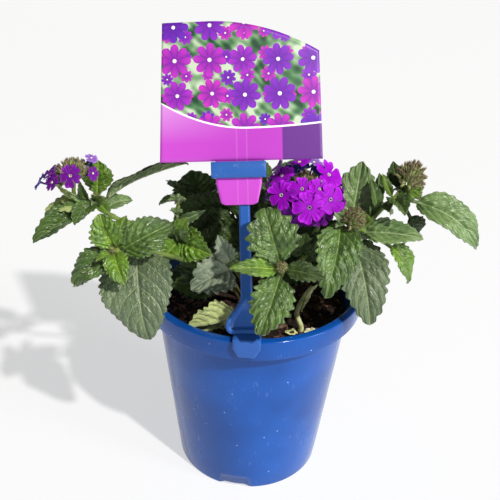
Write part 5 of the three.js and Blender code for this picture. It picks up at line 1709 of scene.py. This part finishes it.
# %% Where the right head's florets sit
# each floret: the place of its eye, the way it faces, its radius, and its petals' kind
RIGHT_FLORETS = [
    ((14.4, -13.7, 213.8), (-0.54, -0.26, 0.80), 8.0, "open"),
    ((10.2, -4.4, 212.4), (-0.8, 0.1, 0.5), 7.5, "shade_painted"),
    ((14.6, -24.4, 206.6), (-0.40, -0.75, 0.54), 8.5, "open"),
    ((26.1, -24.6, 211.2), (-0.06, -0.62, 0.78), 8.0, "open"),
    ((30.8, -31.0, 203.0), (0.10, -0.90, 0.42), 9.7, "open"),
    ((36.0, -23.2, 211.0), (0.25, -0.62, 0.74), 6.5, "open"),
    ((41.4, -10.0, 214.2), (0.45, -0.32, 0.83), 9.0, "open"),
    ((42.6, -24.6, 205.6), (0.40, -0.78, 0.48), 9.0, "open"),
    ((24.0, -2.6, 218.0), (-0.25, 0.05, 0.97), 7.5, "open"),
    ((32.6, 0.5, 217.0), (0.25, 0.10, 0.96), 6.6, "faded"),
    ((49.8, -13.5, 202.0), (0.92, -0.10, 0.05), 8.0, "shade_painted"),
    ((29.0, -25.0, 190.5), (0.05, -0.70, -0.65), 8.0, "shade_painted"),
    ((7.6, -12.0, 204.4), (-0.90, -0.15, 0.25), 8.0, "shade_painted"),
    ((20.5, -26.6, 194.5), (-0.25, -0.85, -0.2), 7.7, "shade_painted"),
    ((38.5, -24.0, 194.5), (0.45, -0.80, -0.1), 8.0, "shade_painted"),
    ((14.0, 2.5, 205.5), (-0.7, 0.6, 0.3), 8.0, "open"),
    ((24.0, 8.0, 208.5), (-0.15, 0.85, 0.5), 8.2, "open"),
    ((38.0, 6.0, 208.5), (0.4, 0.75, 0.5), 8.2, "open"),
    ((47.0, -2.0, 205.0), (0.8, 0.4, 0.4), 7.7, "open"),
]

print("right head:", len(RIGHT_FLORETS), "florets")

# %% Head builders
def flower_head(name, florets, foot, nodes):
    """Makes the florets of a head: one piece for each kind of petal, and one for the throats."""
    throats = Skin()
    for kind in petals:
        mine = [(i, f) for i, f in enumerate(florets) if f[3] == kind]
        if not mine:
            continue
        lobes = Skin()
        for i, (eye, normal, radius, _) in mine:
            inner = np.array(foot) + (np.array(eye) - np.array(foot)) * 0.3
            add_floret(lobes, throats, eye, normal, radius, inner, f"{name}{i}")
        lobes.finish(f"{name}_{kind}_petals", petals[kind], "petal", nodes if kind == florets[0][3] else ())
    throats.finish(name + "_throats", throat_skin, "petal")


def head_calyces(skin, florets, foot, name):
    """Gives each floret its own calyx round the lower half of its tube."""
    for i, (eye, normal, *_) in enumerate(florets):
        path = arc(np.array(eye, float), -np.array(normal, float), foot, 9)
        add_calyx(skin, path[6], path[3], 2.3, f"{name}{i}", 0.8)


print("kinds of petal:", ", ".join(petals))

# %% The right flower head
foot = (27.3, -8.3, 193.0)
flower_head("right_head", RIGHT_FLORETS, foot, ["flower_head_right"])
skin = Skin()
add_calyces(skin, foot, (0.03, -0.22, 0.97), 15, 23, 84, 2.1, 1.0, seed=3, length=10, opened=0.2)
head_calyces(skin, RIGHT_FLORETS, foot, "right")
skin.finish("right_head_calyces", calyx_skin, "bud")
print("right head: calyces with", len(skin.faces), "faces")

# %% [markdown]
# ## The smaller head
# The left head has only begun to open. Its dome is lower, its florets are smaller, their darker
# purple is painted shade, and most of what one sees is closed calyces.

# %% The left flower head
LEFT_FLORETS = [
    ((-105.0, -25.5, 212.2), (-0.10, -0.88, 0.46), 7.0, "shade_painted"),
    ((-118.8, -17.0, 208.8), (-0.60, -0.10, 0.78), 5.6, "shade_painted"),
    ((-127.0, -14.0, 202.0), (-0.85, 0.05, 0.45), 5.8, "shade_painted"),
    ((-123.0, -7.0, 205.5), (-0.70, 0.25, 0.66), 5.6, "shade_painted"),
    ((-117.0, -22.0, 205.8), (-0.55, -0.55, 0.55), 5.6, "shade_painted"),
    ((-97.0, -7.0, 215.6), (0.35, -0.25, 0.90), 4.0, "faded"),
    ((-94.6, -15.0, 209.5), (0.75, -0.40, 0.30), 4.4, "shade_painted"),
    ((-103.0, 1.5, 206.0), (-0.05, 0.85, 0.4), 5.6, "shade_painted"),
    ((-114.0, 1.0, 203.5), (-0.5, 0.7, 0.4), 5.6, "shade_painted"),
]
foot = (-107.3, -12, 202.6)
flower_head("left_head", LEFT_FLORETS, foot, ["flower_head_left"])
skin = Skin()
add_calyces(skin, foot, (-0.28, -0.05, 0.96), 13.5, 13.5, 84, 1.7, 1.25, seed=5, length=8.5, opened=0.15)
head_calyces(skin, LEFT_FLORETS, foot, "left")
skin.finish("left_head_calyces", calyx_skin, "bud")
print("left head:", len(LEFT_FLORETS), "florets, and calyces with", len(skin.faces), "faces")

# %% [markdown]
# ## The buds
# A young head is a tight brush of calyces with no petals yet. Their sepals end in points that
# turn brown-purple in the sun, so a bud head is dark on top and pale green down its sides.

# %% Bud heads
# name, foot, the way up, radius, height, count, width and length of its calyces, and nodes
BUDS = [
    ("bud_head_right", (86.0, -9, 210.0), (0.30, -0.22, 0.92), 9.9, 16.6, 70, 1.9, 10.5, ["bud_head_right"]),
    ("bud_head_front", (54.2, -27.2, 193.5), (0.35, -0.6, 0.72), 7.8, 13.5, 50, 1.8, 9.0, ["bud_head_front"]),
    ("bud_front", (17, -62, 181.6), (0.05, -0.7, 0.8), 3.6, 4.6, 40, 1.05, 3.6, ["bud_front"]),
    ("bud_left", (-78, -48, 177.6), (-0.1, -0.6, 0.85), 2.6, 4.4, 22, 1.0, 3.4, []),
    ("bud_far_left", (-95, -12, 191.6), (0.05, -0.35, 0.95), 2.2, 5.0, 18, 0.95, 3.6, []),
    ("bud_inner_left", (-46, -10, 189.6), (-0.05, -0.3, 0.95), 2.4, 6.0, 20, 1.0, 4.2, []),
    ("bud_right_tip", (92, -11, 202.8), (0.5, -0.1, 0.9), 2.8, 5.4, 24, 1.0, 4.0, []),
]
for name, foot, upward, radius, height, count, width, length, nodes in BUDS:
    skin = Skin()
    add_calyces(skin, foot, upward, radius, height, count, width, 1.35, seed=len(name) * 7,
                length=length, spread=0.35)
    made = skin.finish(name + "_calyces", calyx_skin, "bud", nodes)
    print(made.name, len(made.data.polygons), "faces")
